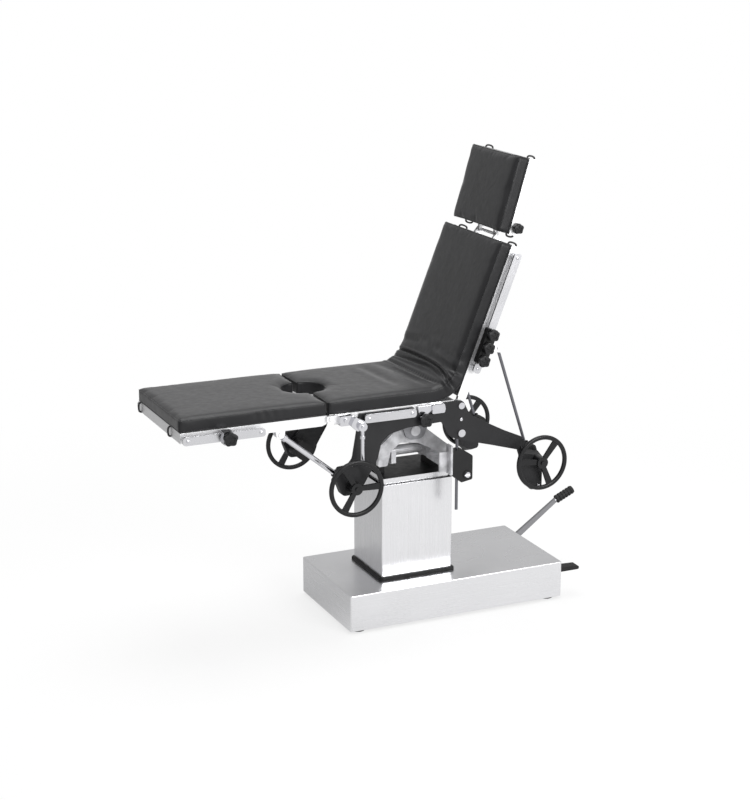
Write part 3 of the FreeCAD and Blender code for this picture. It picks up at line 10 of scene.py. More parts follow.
import bmesh
import bpy
import numpy as np
from bmesh.types import BMEdge, BMesh, BMFace, BMVert
from bpy.types import Material, Mesh, Node, NodeSocket, NodeTree, Object
from mathutils import Matrix, Vector
from mathutils.bvhtree import BVHTree

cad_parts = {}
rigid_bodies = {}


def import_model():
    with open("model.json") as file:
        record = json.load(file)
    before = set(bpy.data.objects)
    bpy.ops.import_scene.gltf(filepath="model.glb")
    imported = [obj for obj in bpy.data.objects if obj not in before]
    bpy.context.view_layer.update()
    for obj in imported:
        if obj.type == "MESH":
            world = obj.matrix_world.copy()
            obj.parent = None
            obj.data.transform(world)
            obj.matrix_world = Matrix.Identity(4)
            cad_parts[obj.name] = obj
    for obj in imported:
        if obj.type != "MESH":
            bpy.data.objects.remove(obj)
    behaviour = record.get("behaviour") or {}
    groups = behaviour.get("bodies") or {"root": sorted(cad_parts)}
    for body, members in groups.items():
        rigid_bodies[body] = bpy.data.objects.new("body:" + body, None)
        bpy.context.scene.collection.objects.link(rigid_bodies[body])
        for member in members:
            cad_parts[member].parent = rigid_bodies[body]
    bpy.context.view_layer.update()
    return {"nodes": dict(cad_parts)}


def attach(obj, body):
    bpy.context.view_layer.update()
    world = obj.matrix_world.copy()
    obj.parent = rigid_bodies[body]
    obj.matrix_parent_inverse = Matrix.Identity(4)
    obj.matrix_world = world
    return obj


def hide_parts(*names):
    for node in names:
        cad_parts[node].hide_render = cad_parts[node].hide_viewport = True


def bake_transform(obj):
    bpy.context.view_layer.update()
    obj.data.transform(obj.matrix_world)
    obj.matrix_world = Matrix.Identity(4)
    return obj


logging.basicConfig(level=logging.INFO, format="%(message)s")
LOG = logging.getLogger("operating_table")

# Places are in millimetres: x from the column axis, y from the middle, z from the floor, with the back and
# head sections laid flat. Angles are in degrees, from flat to the pose shown.
MM = 0.001
COLUMN_X = 52.307          # x of the column axis in the row frame
PAD_BOTTOM = 890.0
PAD_TOP = 940.0
SEAM_X = -422.0
LEG_END_X = -997.0
BACK_END_X = 773.0
HEAD_START_X = 799.0
HEAD_END_X = 1104.0
BACK_PIVOT = (128.0, 867.0)
HEAD_PIVOT = (786.0, 867.0)
BACK_RISE = 68.5
HEAD_RISE = 5.0
LEVER_LEAN = 35.8
RAIL_Z = 866.0
RAIL_OUTER_Y = 270.0
PLATE_OUTER_Y = 250.0
TRAY_DROP = 39.0
HEAD_TRAY_DROP = 34.0


def clear_start() -> None:
    """Remove the objects that a new file starts with."""
    for item in list(bpy.data.objects):
        bpy.data.objects.remove(item)


clear_start()
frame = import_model()


# Places and meshes


def turned(points: np.ndarray, pivot: tuple[float, float], degrees: float) -> np.ndarray:
    """Turn points about a Y line; a positive angle lifts the +X side.

    Args:
        points: millimetres, one row a point.
        pivot: x and z of the line.
        degrees: angle of the turn.

    Returns:
        The turned points.
    """
    angle = math.radians(degrees)
    out = np.array(points, dtype=float)
    dx, dz = points[..., 0] - pivot[0], points[..., 2] - pivot[1]
    out[..., 0] = pivot[0] + dx * math.cos(angle) - dz * math.sin(angle)
    out[..., 2] = pivot[1] + dx * math.sin(angle) + dz * math.cos(angle)
    return out


def on_back(points: np.ndarray) -> np.ndarray:
    """Points shaped on the flat back section, taken to the raised one."""
    return turned(points, BACK_PIVOT, BACK_RISE)


def on_head(points: np.ndarray) -> np.ndarray:
    """Points shaped on the flat head section, taken to the raised one."""
    return on_back(turned(points, HEAD_PIVOT, HEAD_RISE))


def flat(points: np.ndarray) -> np.ndarray:
    """Points that stay where they were shaped."""
    return points


def read_points(mesh: Mesh) -> np.ndarray:
    """Vertex places of a mesh as one array, a row a vertex."""
    out = np.empty(len(mesh.vertices) * 3)
    mesh.vertices.foreach_get("co", out)
    return out.reshape(-1, 3)


def write_points(mesh: Mesh, points: np.ndarray) -> None:
    """Write vertex places back to a mesh."""
    mesh.vertices.foreach_set("co", np.ascontiguousarray(points, dtype=np.float32).ravel())
    mesh.update()


def to_row(points: np.ndarray) -> np.ndarray:
    """Millimetres about the column axis to metres of the row frame."""
    out = np.array(points, dtype=float)
    out[:, 0] += COLUMN_X
    return out * MM


def new_object(name: str, mesh: Mesh) -> Object:
    """Link a new object that holds the mesh."""
    item = bpy.data.objects.new(name, mesh)
    bpy.context.scene.collection.objects.link(item)
    return item


def baked(item: Object) -> Mesh:
    """Mesh of an object with its modifiers applied; the object is removed."""
    graph = bpy.context.evaluated_depsgraph_get()
    mesh = bpy.data.meshes.new_from_object(item.evaluated_get(graph))
    bpy.data.objects.remove(item)
    return mesh


def bmesh_object(name: str, shape: BMesh, smooth_angle: float | None = 35.0) -> Object:
    """Close a bmesh into an object whose faces point outwards.

    Args:
        name: name of the object.
        shape: the bmesh, freed here.
        smooth_angle: edges sharper than this stay sharp; None leaves the faces flat.

    Returns:
        The new object.
    """
    bmesh.ops.recalc_face_normals(shape, faces=shape.faces)
    mesh = bpy.data.meshes.new(name)
    if smooth_angle is not None:
        limit = math.radians(smooth_angle)
        for face in shape.faces:
            face.smooth = True
        for edge in shape.edges:
            if len(edge.link_faces) == 2 and edge.calc_face_angle(0.0) > limit:
                edge.smooth = False
    shape.to_mesh(mesh)
    shape.free()
    return new_object(name, mesh)


def rows(*points: Sequence[float]) -> np.ndarray:
    """Array of points, a row a point."""
    return np.array(points, dtype=float)


def add_cylinder(shape: BMesh, radius: float, depth: float, segments: int) -> list[BMVert]:
    """Add a closed cylinder along Z, centred on the origin, and return its vertices."""
    return bmesh.ops.create_cone(shape, cap_ends=True, segments=segments, radius1=radius, radius2=radius,
                                 depth=depth)["verts"]


def bevel(shape: BMesh, edges: list[BMEdge], width: float, segments: int) -> None:
    """Round edges of a bmesh."""
    bmesh.ops.bevel(shape, geom=edges, offset=width, segments=segments, profile=0.5, affect="EDGES",
                    material=-1)


def rim_edges(shape: BMesh, level: float) -> list[BMEdge]:
    """Level edges where two faces meet at an angle; their ends differ in height by less than a level."""
    return [edge for edge in shape.edges
            if abs(edge.verts[0].co.z - edge.verts[1].co.z) < level
            and len(edge.link_faces) == 2 and edge.calc_face_angle(0.0) > 1.0]


def push_face(shape: BMesh, faces: list[BMFace], rise: float) -> None:
    """Extrude faces and move them along Z."""
    made = bmesh.ops.extrude_face_region(shape, geom=faces)
    verts = [item for item in made["geom"] if isinstance(item, BMVert)]
    bmesh.ops.translate(shape, vec=(0.0, 0.0, rise), verts=verts)


def tube(name: str, points: Sequence[Sequence[float]], radius: float, closed: bool) -> Object:
    """Round rod along points: a closed line with corners, or an open smooth curve with capped ends.

    Args:
        name: name of the object.
        points: places of the control points.
        radius: radius of the rod, in the unit of the points.
        closed: True for the closed line.

    Returns:
        The new object, with its mesh in the unit of the points.
    """
    curve = bpy.data.curves.new(name, "CURVE")
    curve.dimensions = "3D"
    curve.bevel_depth = radius
    curve.bevel_resolution = 2 if closed else 3
    curve.use_fill_caps = not closed
    spline = curve.splines.new("POLY" if closed else "NURBS")
    spline.points.add(len(points) - 1)
    for point, place in zip(spline.points, points):
        point.co = (*place, 1.0)
    if closed:
        spline.use_cyclic_u = True
    else:
        spline.order_u = 4
        spline.use_endpoint_u = True
    holder = bpy.data.objects.new(name, curve)
    bpy.context.scene.collection.objects.link(holder)
    mesh = baked(holder)
    bpy.data.curves.remove(curve)
    mesh.shade_smooth()
    return new_object(name, mesh)


# Finishes

def linear(code: str) -> tuple[float, float, float, float]:
    """Linear colour with alpha from an sRGB hex code such as #2b2b2d."""
    values = [int(code[i:i + 2], 16) / 255.0 for i in (1, 3, 5)]
    red, green, blue = (v / 12.92 if v <= 0.04045 else ((v + 0.055) / 1.055) ** 2.4 for v in values)
    return (red, green, blue, 1.0)


def add_node(tree: NodeTree, kind: str, settings: dict | None = None, values: dict | None = None,
             links: dict | None = None) -> Node:
    """Add one shader node.

    Args:
        tree: the material's node tree.
        kind: type name of the node.
        settings: attributes of the node.
        values: socket name or index to its fixed value.
        links: socket name or index to the output that feeds it.

    Returns:
        The new node.
    """
    made = tree.nodes.new(kind)
    for key, value in (settings or {}).items():
        setattr(made, key, value)
    for socket, value in (values or {}).items():
        made.inputs[socket].default_value = value
    for socket, source in (links or {}).items():
        tree.links.new(source, made.inputs[socket])
    return made


def calculate(tree: NodeTree, operation: str, *terms: float | NodeSocket) -> NodeSocket:
    """Output of a math node; each term is a number or the output that feeds it."""
    links = {index: term for index, term in enumerate(terms) if isinstance(term, NodeSocket)}
    values = {index: term for index, term in enumerate(terms) if index not in links}
    return add_node(tree, "ShaderNodeMath", {"operation": operation}, values, links).outputs[0]


def map_range(tree: NodeTree, source: NodeSocket, span: tuple[float, float],
              result: tuple[float, float], kind: str = "LINEAR") -> NodeSocket:
    """Number that runs over the result while the source runs over the span."""
    values = {"From Min": span[0], "From Max": span[1], "To Min": result[0], "To Max": result[1]}
    made = add_node(tree, "ShaderNodeMapRange", {"interpolation_type": kind}, values, {"Value": source})
    return made.outputs["Result"]


@dataclass
class Recipe:
    """A material being made: its tree, its shader and its object coordinates."""
    material: Material
    tree: NodeTree
    shader: Node
    place: NodeSocket

    def noise(self, size_mm: float, detail: float = 2.0, vector: NodeSocket | None = None,
              distortion: float = 0.0) -> NodeSocket:
        """Noise whose lumps are about size_mm across, as a number from 0 to 1."""
        scale = 1.0 / (size_mm * MM) if vector is None else 1.0
        made = add_node(self.tree, "ShaderNodeTexNoise",
                        values={"Scale": scale, "Detail": detail, "Distortion": distortion},
                        links={"Vector": vector or self.place})
        return made.outputs["Fac"]

    def ranged(self, source: NodeSocket, low: float, high: float, start: float = 0.3,
               end: float = 0.7) -> NodeSocket:
        """Number that runs from low to high while the source runs from start to end."""
        return map_range(self.tree, source, (start, end), (low, high))

    def blend(self, factor: NodeSocket, first: Sequence[float], second: Sequence[float]) -> NodeSocket:
        """Colour between two linear colours by a factor."""
        made = add_node(self.tree, "ShaderNodeMix", settings={"data_type": "RGBA"},
                        values={6: first, 7: second}, links={0: factor})
        return made.outputs[2]

    def tint(self, factor: NodeSocket, first: str, second: str) -> NodeSocket:
        """Colour between two hex codes by a factor."""
        return self.blend(factor, linear(first), linear(second))

    def mottle(self, size_mm: float, detail: float, dark: str, light: str) -> NodeSocket:
        """Colour that drifts between two hex codes in lumps of about size_mm."""
        return self.tint(self.ranged(self.noise(size_mm, detail), 0.0, 1.0), dark, light)

    def feed(self, colour: NodeSocket, rough: NodeSocket) -> None:
        """Link the shader's colour and roughness."""
        self.tree.links.new(colour, self.shader.inputs["Base Color"])
        self.tree.links.new(rough, self.shader.inputs["Roughness"])

    def bump(self, heights: Sequence[tuple[NodeSocket, float]], strength: float = 1.0) -> None:
        """Stack heights into the shader's normal; each comes with its relief in millimetres."""
        normal = None
        for height, relief in heights:
            links = {"Height": height}
            if normal is not None:
                links["Normal"] = normal
            values = {"Strength": strength, "Distance": relief * MM}
            normal = add_node(self.tree, "ShaderNodeBump", values=values, links=links).outputs["Normal"]
        self.tree.links.new(normal, self.shader.inputs["Normal"])


def start_recipe(name: str, **values: float) -> Recipe:
    """Begin a material with one Principled shader whose sockets get the values."""
    material = bpy.data.materials.new(name)
    material.use_nodes = True
    tree = material.node_tree
    tree.nodes.clear()
    shader = add_node(tree, "ShaderNodeBsdfPrincipled",
                      values={key.replace("_", " "): value for key, value in values.items()})
    add_node(tree, "ShaderNodeOutputMaterial", links={"Surface": shader.outputs["BSDF"]})
    place = add_node(tree, "ShaderNodeTexCoord").outputs["Object"]
    return Recipe(material, tree, shader, place)


@dataclass(frozen=True)
class Leatherette:
    """PVC coated upholstery cloth, embossed: a soft sheen at low angles, fine pebbles, slack ripples."""
    name: str = "pvc_leatherette_embossed"
    dark: str = "#161618"
    light: str = "#1d1d1f"
    pebble_mm: float = 2.6      # the real pebble is 1 mm, drawn coarser so that it shows
    ripple_mm: float = 46.0

    def make(self) -> Material:
        """Build the material."""
        recipe = start_recipe(self.name, IOR=1.36, Sheen_Weight=0.3, Sheen_Roughness=0.35)
        recipe.feed(recipe.mottle(90.0, 3.0, self.dark, self.light),
                    recipe.ranged(recipe.noise(25.0, 4.0), 0.34, 0.44))
        pebble = add_node(recipe.tree, "ShaderNodeTexVoronoi", settings={"feature": "SMOOTH_F1"},
                          values={"Scale": 1.0 / (self.pebble_mm * MM), "Smoothness": 0.6},
                          links={"Vector": recipe.place})
        ripple = recipe.noise(self.ripple_mm, 3.0, distortion=0.4)
        recipe.bump([(ripple, 1.4), (pebble.outputs["Distance"], 0.1)], 0.7)
        return recipe.material


@dataclass(frozen=True)
class BrushedSteel:
    """Stainless sheet, brushed with belt grit: long hair lines that soften what it mirrors, faint smudges.

    streak gives the length of a hair line along x, y and z of the turned frame, in millimetres.
    """
    name: str
    colour: str = "#e4e4e6"
    streak: tuple[float, float, float] = (260.0, 260.0, 1.6)
    lean: float = 0.0
    rough: float = 0.28

    def make(self) -> Material:
        """Build the material."""
        recipe = start_recipe(self.name, Metallic=1.0)
        lines = add_node(recipe.tree, "ShaderNodeMapping", settings={"vector_type": "TEXTURE"},
                         values={"Rotation": (0.0, -math.radians(self.lean), 0.0),
                                 "Scale": tuple(side * MM for side in self.streak)},
                         links={"Vector": recipe.place}).outputs["Vector"]
        hair = recipe.noise(1.0, 3.0, vector=lines)
        smudge = recipe.noise(140.0, 3.0)
        bright = linear(self.colour)
        shade = (*(value * 0.9 for value in bright[:3]), 1.0)
        haze = calculate(recipe.tree, "ADD", recipe.ranged(hair, self.rough - 0.05, self.rough + 0.06),
                         recipe.ranged(smudge, -0.03, 0.05))
        recipe.feed(recipe.blend(recipe.ranged(hair, 0.0, 1.0), bright, shade), haze)
        recipe.bump([(hair, 0.05), (smudge, 0.4)], 0.6)
        return recipe.material


@dataclass(frozen=True)
class Moulding:
    """Moulded plastic or rubber: even colour, light mould texture, dull or glossy by its roughness."""
    name: str
    dark: str
    light: str
    rough: float
    texture_mm: float = 1.8
    relief_mm: float = 0.05
    tone_mm: float = 40.0
    tone_detail: float = 3.0
    haze_mm: float = 12.0

    def make(self) -> Material:
        """Build the material."""
        recipe = start_recipe(self.name, IOR=1.4)
        recipe.feed(recipe.mottle(self.tone_mm, self.tone_detail, self.dark, self.light),
                    recipe.ranged(recipe.noise(self.haze_mm, 3.0), self.rough - 0.05, self.rough + 0.07))
        recipe.bump([(recipe.noise(self.texture_mm, 2.0), self.relief_mm)], 0.8)
        return recipe.material


@dataclass(frozen=True)
class PowderPaint(Moulding):
    """Baked paint on steel or castings: satin, with a fine orange peel and a little dust in the tone."""
    texture_mm: float = 2.4
    relief_mm: float = 0.06
    tone_mm: float = 70.0
    tone_detail: float = 4.0
    haze_mm: float = 18.0


@dataclass(frozen=True)
class SandCasting:
    """Grey enamel on a sand casting: pebbled skin and shallow hollows."""
    name: str = "enamelled_sand_casting"
    dark: str = "#98989b"
    light: str = "#cfcfd2"

    def make(self) -> Material:
        """Build the material."""
        recipe = start_recipe(self.name, IOR=1.5, Metallic=0.25)
        skin = recipe.noise(7.0, 4.0)
        recipe.feed(recipe.mottle(35.0, 3.0, self.dark, self.light), recipe.ranged(skin, 0.34, 0.52))
        recipe.bump([(recipe.noise(30.0, 2.0), 0.9), (skin, 0.35)], 0.7)
        return recipe.material


@dataclass(frozen=True)
class Plating:
    """Chrome, zinc or a ground skin on steel: a mirror with a wisp of haze and a slight unevenness."""
    name: str
    colour: str = "#dcdce0"
    rough: float = 0.1
    second: str = "#c9c9cd"

    def make(self) -> Material:
        """Build the material."""
        recipe = start_recipe(self.name, Metallic=1.0)
        haze = recipe.noise(22.0, 3.0)
        recipe.feed(recipe.tint(haze, self.colour, self.second),
                    recipe.ranged(haze, self.rough - 0.03, self.rough + 0.07))
        recipe.bump([(recipe.noise(3.0, 2.0), 0.02)], 0.5)
        return recipe.material


@dataclass(frozen=True)
class WovenElastic:
    """Woven elastic band: ribs across its run, dull black yarn, coloured lighter on the rib tops and darker
    in the grooves as a painted shade.
    """
    name: str = "woven_elastic_band"
    rib_mm: float = 1.6

    def make(self) -> Material:
        """Build the material."""
        recipe = start_recipe(self.name, IOR=1.45, Sheen_Weight=0.3)
        ribs = add_node(recipe.tree, "ShaderNodeTexWave",
                        settings={"wave_type": "BANDS", "bands_direction": "Y"},
                        values={"Scale": 0.314 / (self.rib_mm * MM), "Distortion": 0.6, "Detail": 1.0},
                        links={"Vector": recipe.place}).outputs["Fac"]
        # Painted shade: the rib bands also set the colour, dark in the grooves and lighter on the rib tops.
        recipe.feed(recipe.tint(ribs, "#131314", "#232325"), recipe.ranged(ribs, 0.7, 0.85, 0.0, 1.0))
        recipe.bump([(ribs, 0.25)], 0.8)
        return recipe.material


class Finish(Enum):
    """Finishes of the table; each value holds the recipe of its material and the record's slot."""
    UPHOLSTERY = (Leatherette(), "black_upholstery")
    BASE_SHEET = (BrushedSteel("stainless_sheet_brushed_level"), "stainless")
    COLUMN_SHEET = (BrushedSteel("stainless_sheet_brushed_upright", streak=(1.6, 1.6, 260.0)), "stainless")
    TRAY_SHEET = (BrushedSteel("stainless_tray_bright", "#f0f0f1", rough=0.42), "stainless")
    BACK_SHEET = (BrushedSteel("stainless_tray_bright_raised", "#f0f0f1", lean=BACK_RISE, rough=0.42),
                  "stainless")
    RAIL = (BrushedSteel("stainless_rail_ground", "#d0d0d3", (200.0, 200.0, 1.2), rough=0.24), "stainless")
    BACK_RAIL = (BrushedSteel("stainless_rail_ground_raised", "#d0d0d3", (200.0, 200.0, 1.2), BACK_RISE,
                              0.27), "stainless")
    LEVER_STEEL = (BrushedSteel("stainless_lever_ground", "#949497", (160.0, 160.0, 1.2), LEVER_LEAN, 0.28),
                   "stainless")
    BLACK_PAINT = (PowderPaint("powder_paint_black_satin", "#151517", "#1c1c1e", 0.5), "black_paint")
    GEAR_PAINT = (PowderPaint("powder_paint_black_gear_case", "#0b0b0c", "#121213", 0.46), "black_paint")
    CASTING = (SandCasting(), "grey_casting")
    DARK_CASTING = (SandCasting("enamelled_lug_casting", "#6a6a6d", "#8c8c90"), "stainless")
    CHROME = (Plating("chrome_plate_polished"), "chrome_plate")
    ZINC = (Plating("zinc_plate_bright", "#c4c4c8", 0.2), "chrome_plate")
    GROUND_STEEL = (Plating("ground_steel_shaft", "#77777c", 0.3, "#69696e"), "dark_steel")
    WHEEL = (Moulding("phenolic_handwheel_black", "#0c0c0e", "#131315", 0.3), "wheel_black")
    KNOB = (Moulding("nylon_star_knob_black", "#0f0f11", "#171719", 0.38), "knob_plastic")
    RUBBER = (Moulding("moulded_rubber_black", "#0e0e0f", "#171718", 0.6, 2.2, 0.12), "black_rubber")
    GASKET = (Moulding("extruded_gasket_rubber", "#0b0b0c", "#131314", 0.6, 2.2, 0.1), "black_rubber")
    ELASTIC = (WovenElastic(), "black_upholstery")

    def material(self) -> Material:
        """Material of this finish, made the first time that it is asked for."""
        recipe = self.value[0]
        return bpy.data.materials.get(recipe.name) or recipe.make()

    @property
    def slot(self) -> str:
        """The record's material slot that the finish belongs to."""
        return self.value[1]


def dress(item: Object, finish: Finish) -> None:
    """Give an object one finish over all its faces."""
    item.data.materials.clear()
    item.data.materials.append(finish.material())


def settle(item: Object, finish: Finish, body: str, *nodes: str) -> None:
    """Finish a new piece, hand it to its body and let it stand for CAD nodes.

    Args:
        item: the piece, in its place in the row frame.
        finish: its finish.
        body: the CAD body that carries it.
        nodes: CAD nodes that it replaces.
    """
    dress(item, finish)
    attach(item, body)
    if nodes:
        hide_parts(*nodes)
    LOG.info("%s rides on %s", item.name, body)


# Upholstery

@dataclass(frozen=True)
class Crease:
    """A pressed-in fold of the cover along a curve, in millimetres of the flat pad (x, y)."""
    start: tuple[float, float]
    middle: tuple[float, float]
    end: tuple[float, float]
    width: float
    depth: float

    def relief(self, x: np.ndarray, y: np.ndarray) -> np.ndarray:
        """Height that the fold adds at each point: a valley with a soft roll on both sides."""
        t = np.linspace(0.0, 1.0, 33)[:, None]
        path = ((1 - t) ** 2 * np.array(self.start) + 2 * t * (1 - t) * np.array(self.middle)
                + t ** 2 * np.array(self.end))
        away = np.full(x.shape, 1e9)
        strength = np.zeros(x.shape)
        for step, (px, py) in zip(t[:, 0], path):
            distance = (x - px) ** 2 + (y - py) ** 2
            nearer = distance < away
            away = np.where(nearer, distance, away)
            strength = np.where(nearer, min(1.0, 3.2 * min(step, 1.0 - step)), strength)
        away = np.sqrt(away) / self.width
        return self.depth * strength * (0.5 * np.exp(-((away - 1.9) / 1.0) ** 2) - np.exp(-away ** 2))


@dataclass(frozen=True)
class Fold:
    """How the one-piece mattress turns up from the seat to the back section."""
    pivot: tuple[float, float] = BACK_PIVOT
    rise: float = BACK_RISE
    inner_radius: float = 105.0
    outer_radius: float = 135.0

    def bend(self, points: np.ndarray) -> np.ndarray:
        """Take points of the flat mattress to the folded one, in millimetres."""
        half = math.tan(math.radians(self.rise) / 2.0)
        angle = math.radians(self.rise)
        height = points[:, 2] - self.pivot[1]
        low, high = PAD_BOTTOM - self.pivot[1], PAD_TOP - self.pivot[1]
        share = np.clip((height - low) / (high - low), -0.2, 1.2)
        radius = self.outer_radius + (self.inner_radius - self.outer_radius) * share
        reach = (height + radius) * half
        first, last = self.pivot[0] - reach, self.pivot[0] + reach
        part = (points[:, 0] - first) / (last - first)
        turn = np.clip(part, 0.0, 1.0) * angle
        out = points.copy()
        raised = turned(points, self.pivot, self.rise)
        arcs = {0: first + radius * np.sin(turn), 2: points[:, 2] + radius * (1.0 - np.cos(turn))}
        for axis, arc in arcs.items():
            out[:, axis] = np.select((part <= 0.0, part >= 1.0), (points[:, axis], raised[:, axis]), arc)
        return out


@dataclass
class Cushion:
    """Foam pad in a sewn cover: a swollen box with an edge seam above and below.

    start, end and half_width bound the flat pad, and place takes it to the pose shown. shrink leaves room for
    the swelling, whose reach cap limits. side_creases hold x, width and depth of ripples in the near band.
    """
    name: str
    start: float
    end: float
    half_width: float
    place: Callable[[np.ndarray], np.ndarray]
    cutout_side: int = 0            # -1 when the round cut-out is at the start, +1 at the end
    cutout_radius: float = 80.0
    corner_radius: float = 12.0
    edge_radius: float = 5.0
    shrink: float = 2.0
    voxel: float = 5.5
    pressure: float = 4.0
    frames: int = 20
    cap: float = 6.0
    crown: float = 3.0
    welt_radius: float = 1.5
    creases: tuple[Crease, ...] = ()
    side_creases: tuple[tuple[float, float, float], ...] = ()
    wrinkle_zone: tuple[float, float, float] = (0.0, 1.0, 0.0)

    def block(self) -> Object:
        """Plain cut shape of the pad in flat millimetres, before it swells."""
        shape = bmesh.new()
        bmesh.ops.create_cube(shape, size=1.0)
        size = (self.end - self.start - 2.0 * self.shrink, 2.0 * (self.half_width - self.shrink),
                PAD_TOP - PAD_BOTTOM - self.shrink)
        middle = ((self.start + self.end) / 2.0, 0.0, (PAD_TOP - self.shrink + PAD_BOTTOM) / 2.0)
        bmesh.ops.scale(shape, vec=size, verts=shape.verts)
        bmesh.ops.translate(shape, vec=middle, verts=shape.verts)
        upright = [edge for edge in shape.edges if abs(edge.verts[0].co.z - edge.verts[1].co.z) > 1.0]
        bevel(shape, upright, self.corner_radius, 6)
        bevel(shape, rim_edges(shape, 0.01), self.edge_radius, 3)
        body = bmesh_object(self.name + "_cut", shape, None)
        if self.cutout_side:
            plug = bmesh.new()
            verts = add_cylinder(plug, self.cutout_radius + self.shrink, 200.0, 72)
            bmesh.ops.translate(plug, vec=(SEAM_X, 0.0, PAD_TOP), verts=verts)
            cutter = bmesh_object(self.name + "_plug", plug, None)
            hole = body.modifiers.new("cutout", "BOOLEAN")
            hole.operation = "DIFFERENCE"
            hole.object = cutter
            mesh = baked(body)
            bpy.data.objects.remove(cutter)
            body = new_object(self.name + "_cut", mesh)
        return body

    def swell(self, item: Object) -> Object:
        """Fill the cover with pressure and keep the movement under the cap; works in metres."""
        before = read_points(item.data)
        scene = bpy.context.scene
        filling = item.modifiers.new("filling", "CLOTH")
        settings = {"quality": 4, "mass": 0.25, "tension_stiffness": 18.0, "compression_stiffness": 18.0,
                    "shear_stiffness": 8.0, "bending_stiffness": 0.6, "use_pressure": True,
                    "uniform_pressure_force": self.pressure}
        for key, value in settings.items():
            setattr(filling.settings, key, value)
        filling.settings.effector_weights.gravity = 0.0
        filling.collision_settings.use_collision = False
        filling.point_cache.frame_start = 1
        filling.point_cache.frame_end = self.frames
        for number in range(1, self.frames + 1):
            scene.frame_set(number)
        name = item.name
        mesh = baked(item)
        scene.frame_set(1)
        moved = read_points(mesh) - before
        length = np.linalg.norm(moved, axis=1, keepdims=True)
        limit = self.cap * MM
        moved *= np.where(length > limit, limit / np.maximum(length, 1e-9), 1.0)
        write_points(mesh, before + moved)
        return new_object(name, mesh)

    def relax(self, points: np.ndarray, normals: np.ndarray) -> np.ndarray:
        """Shape the skin of the swollen pad: flat underside, crown, folds of the cover."""
        x, y, z = points[:, 0].copy(), points[:, 1].copy(), points[:, 2].copy()
        along = np.clip((x - self.start) / (self.end - self.start), 0.0, 1.0) * 2.0 - 1.0
        across = np.clip(y / self.half_width, -1.0, 1.0)
        upper = np.clip((z - PAD_BOTTOM) / (PAD_TOP - PAD_BOTTOM), 0.0, 1.0)
        points[:, 2] += self.crown * (1.0 - across ** 6) * (1.0 - along ** 8) * upper ** 2
        lift = np.zeros(len(x))
        for crease in self.creases:
            lift += crease.relief(x, y)
        first, last, depth = self.wrinkle_zone
        if depth > 0.0:
            zone = np.clip(1.0 - np.abs((x - (first + last) / 2.0) / ((last - first) / 2.0)), 0.0, 1.0) ** 0.7
            ridge = (np.sin(x / 7.5 + 2.2 * np.sin(y / 95.0) + 1.3 * np.sin(y / 41.0 + 1.0))
                     * (0.6 + 0.4 * np.sin(y / 60.0 + x / 90.0)))
            lift += depth * zone * ridge
        side = (np.abs(normals[:, 1]) > 0.6) & (y < 0.0)
        for centre, width, depth in self.side_creases:
            ripple = -depth * np.exp(-((x - centre + 0.12 * (z - PAD_TOP)) / width) ** 2)
            lift += np.where(side, ripple * (0.35 + 0.65 * upper), 0.0)
        soft = 0.15 + 0.85 * np.clip(upper * 1.6 - 0.2, 0.0, 1.0)
        points += normals * (lift * soft)[:, None]
        points[:, 2] = np.maximum(points[:, 2], PAD_BOTTOM)
        return points

    def seam_path(self) -> np.ndarray:
        """Closed line of the edge seam seen from above, a point about every 7 mm."""
        inset = self.edge_radius * 0.35
        x0, x1, w, r = self.start + inset, self.end - inset, self.half_width - inset, self.corner_radius
        corners = [(x0 + r, -w + r, 180.0, 270.0), (x1 - r, -w + r, 270.0, 360.0),
                   (x1 - r, w - r, 0.0, 90.0), (x0 + r, w - r, 90.0, 180.0)]
        line = []
        for index, (cx, cy, first, last) in enumerate(corners):
            for step in np.linspace(math.radians(first), math.radians(last), 7):
                line.append((cx + r * math.cos(step), cy + r * math.sin(step)))
            if (index, self.cutout_side) in ((1, 1), (3, -1)):
                start = math.radians(-90.0 if index == 1 else 90.0)
                reach = self.cutout_radius + inset
                for step in np.linspace(start, start - math.pi, 25):
                    line.append((SEAM_X + reach * math.cos(step), reach * math.sin(step)))
        line = rows(*line)
        closed = np.vstack([line, line[:1]])
        lengths = np.concatenate([[0.0], np.cumsum(np.linalg.norm(np.diff(closed, axis=0), axis=1))])
        ticks = np.linspace(0.0, lengths[-1], max(int(lengths[-1] / 7.0), 24), endpoint=False)
        return np.column_stack([np.interp(ticks, lengths, closed[:, axis]) for axis in (0, 1)])

    def welt(self, surface: BVHTree, height: float, label: str) -> Object:
        """Sewn edge seam as a thin roll that lies on the skin, still in flat millimetres."""
        places = []
        for x, y in self.seam_path():
            spot, normal, _, _ = surface.find_nearest(Vector((x, y, height)))
            places.append(spot + normal * 0.3)
        return tube(self.name + label, places, self.welt_radius, True)

    def build(self) -> tuple[Object, list[Object]]:
        """Make the cushion and its two edge seams in the row frame.

        Returns:
            The cushion and the list of its seams.
        """
        item = self.block()
        item.data.transform(Matrix.Scale(MM, 4))
        voxels = item.modifiers.new("voxels", "REMESH")
        voxels.mode = "VOXEL"
        voxels.voxel_size = self.voxel * MM
        voxels.use_smooth_shade = True
        item = new_object(self.name, baked(item))
        item = self.swell(item)
        mesh = item.data
        item.name = self.name
        points = read_points(mesh) / MM
        normals = np.empty(len(mesh.vertices) * 3)
        mesh.vertices.foreach_get("normal", normals)
        points = self.relax(points, normals.reshape(-1, 3))
        write_points(mesh, points)
        shape = bmesh.new()
        shape.from_mesh(mesh)
        bmesh.ops.smooth_vert(shape, verts=shape.verts, factor=0.5, use_axis_x=True, use_axis_y=True,
                              use_axis_z=True)
        surface = BVHTree.FromBMesh(shape)
        shape.to_mesh(mesh)
        shape.free()
        seams = [self.welt(surface, PAD_TOP - self.edge_radius * 0.3, "_seam_top"),
                 self.welt(surface, PAD_BOTTOM + self.edge_radius * 0.6, "_seam_low")]
        for piece in [item] + seams:
            write_points(piece.data, to_row(self.place(read_points(piece.data))))
            piece.data.shade_smooth()
        return item, seams


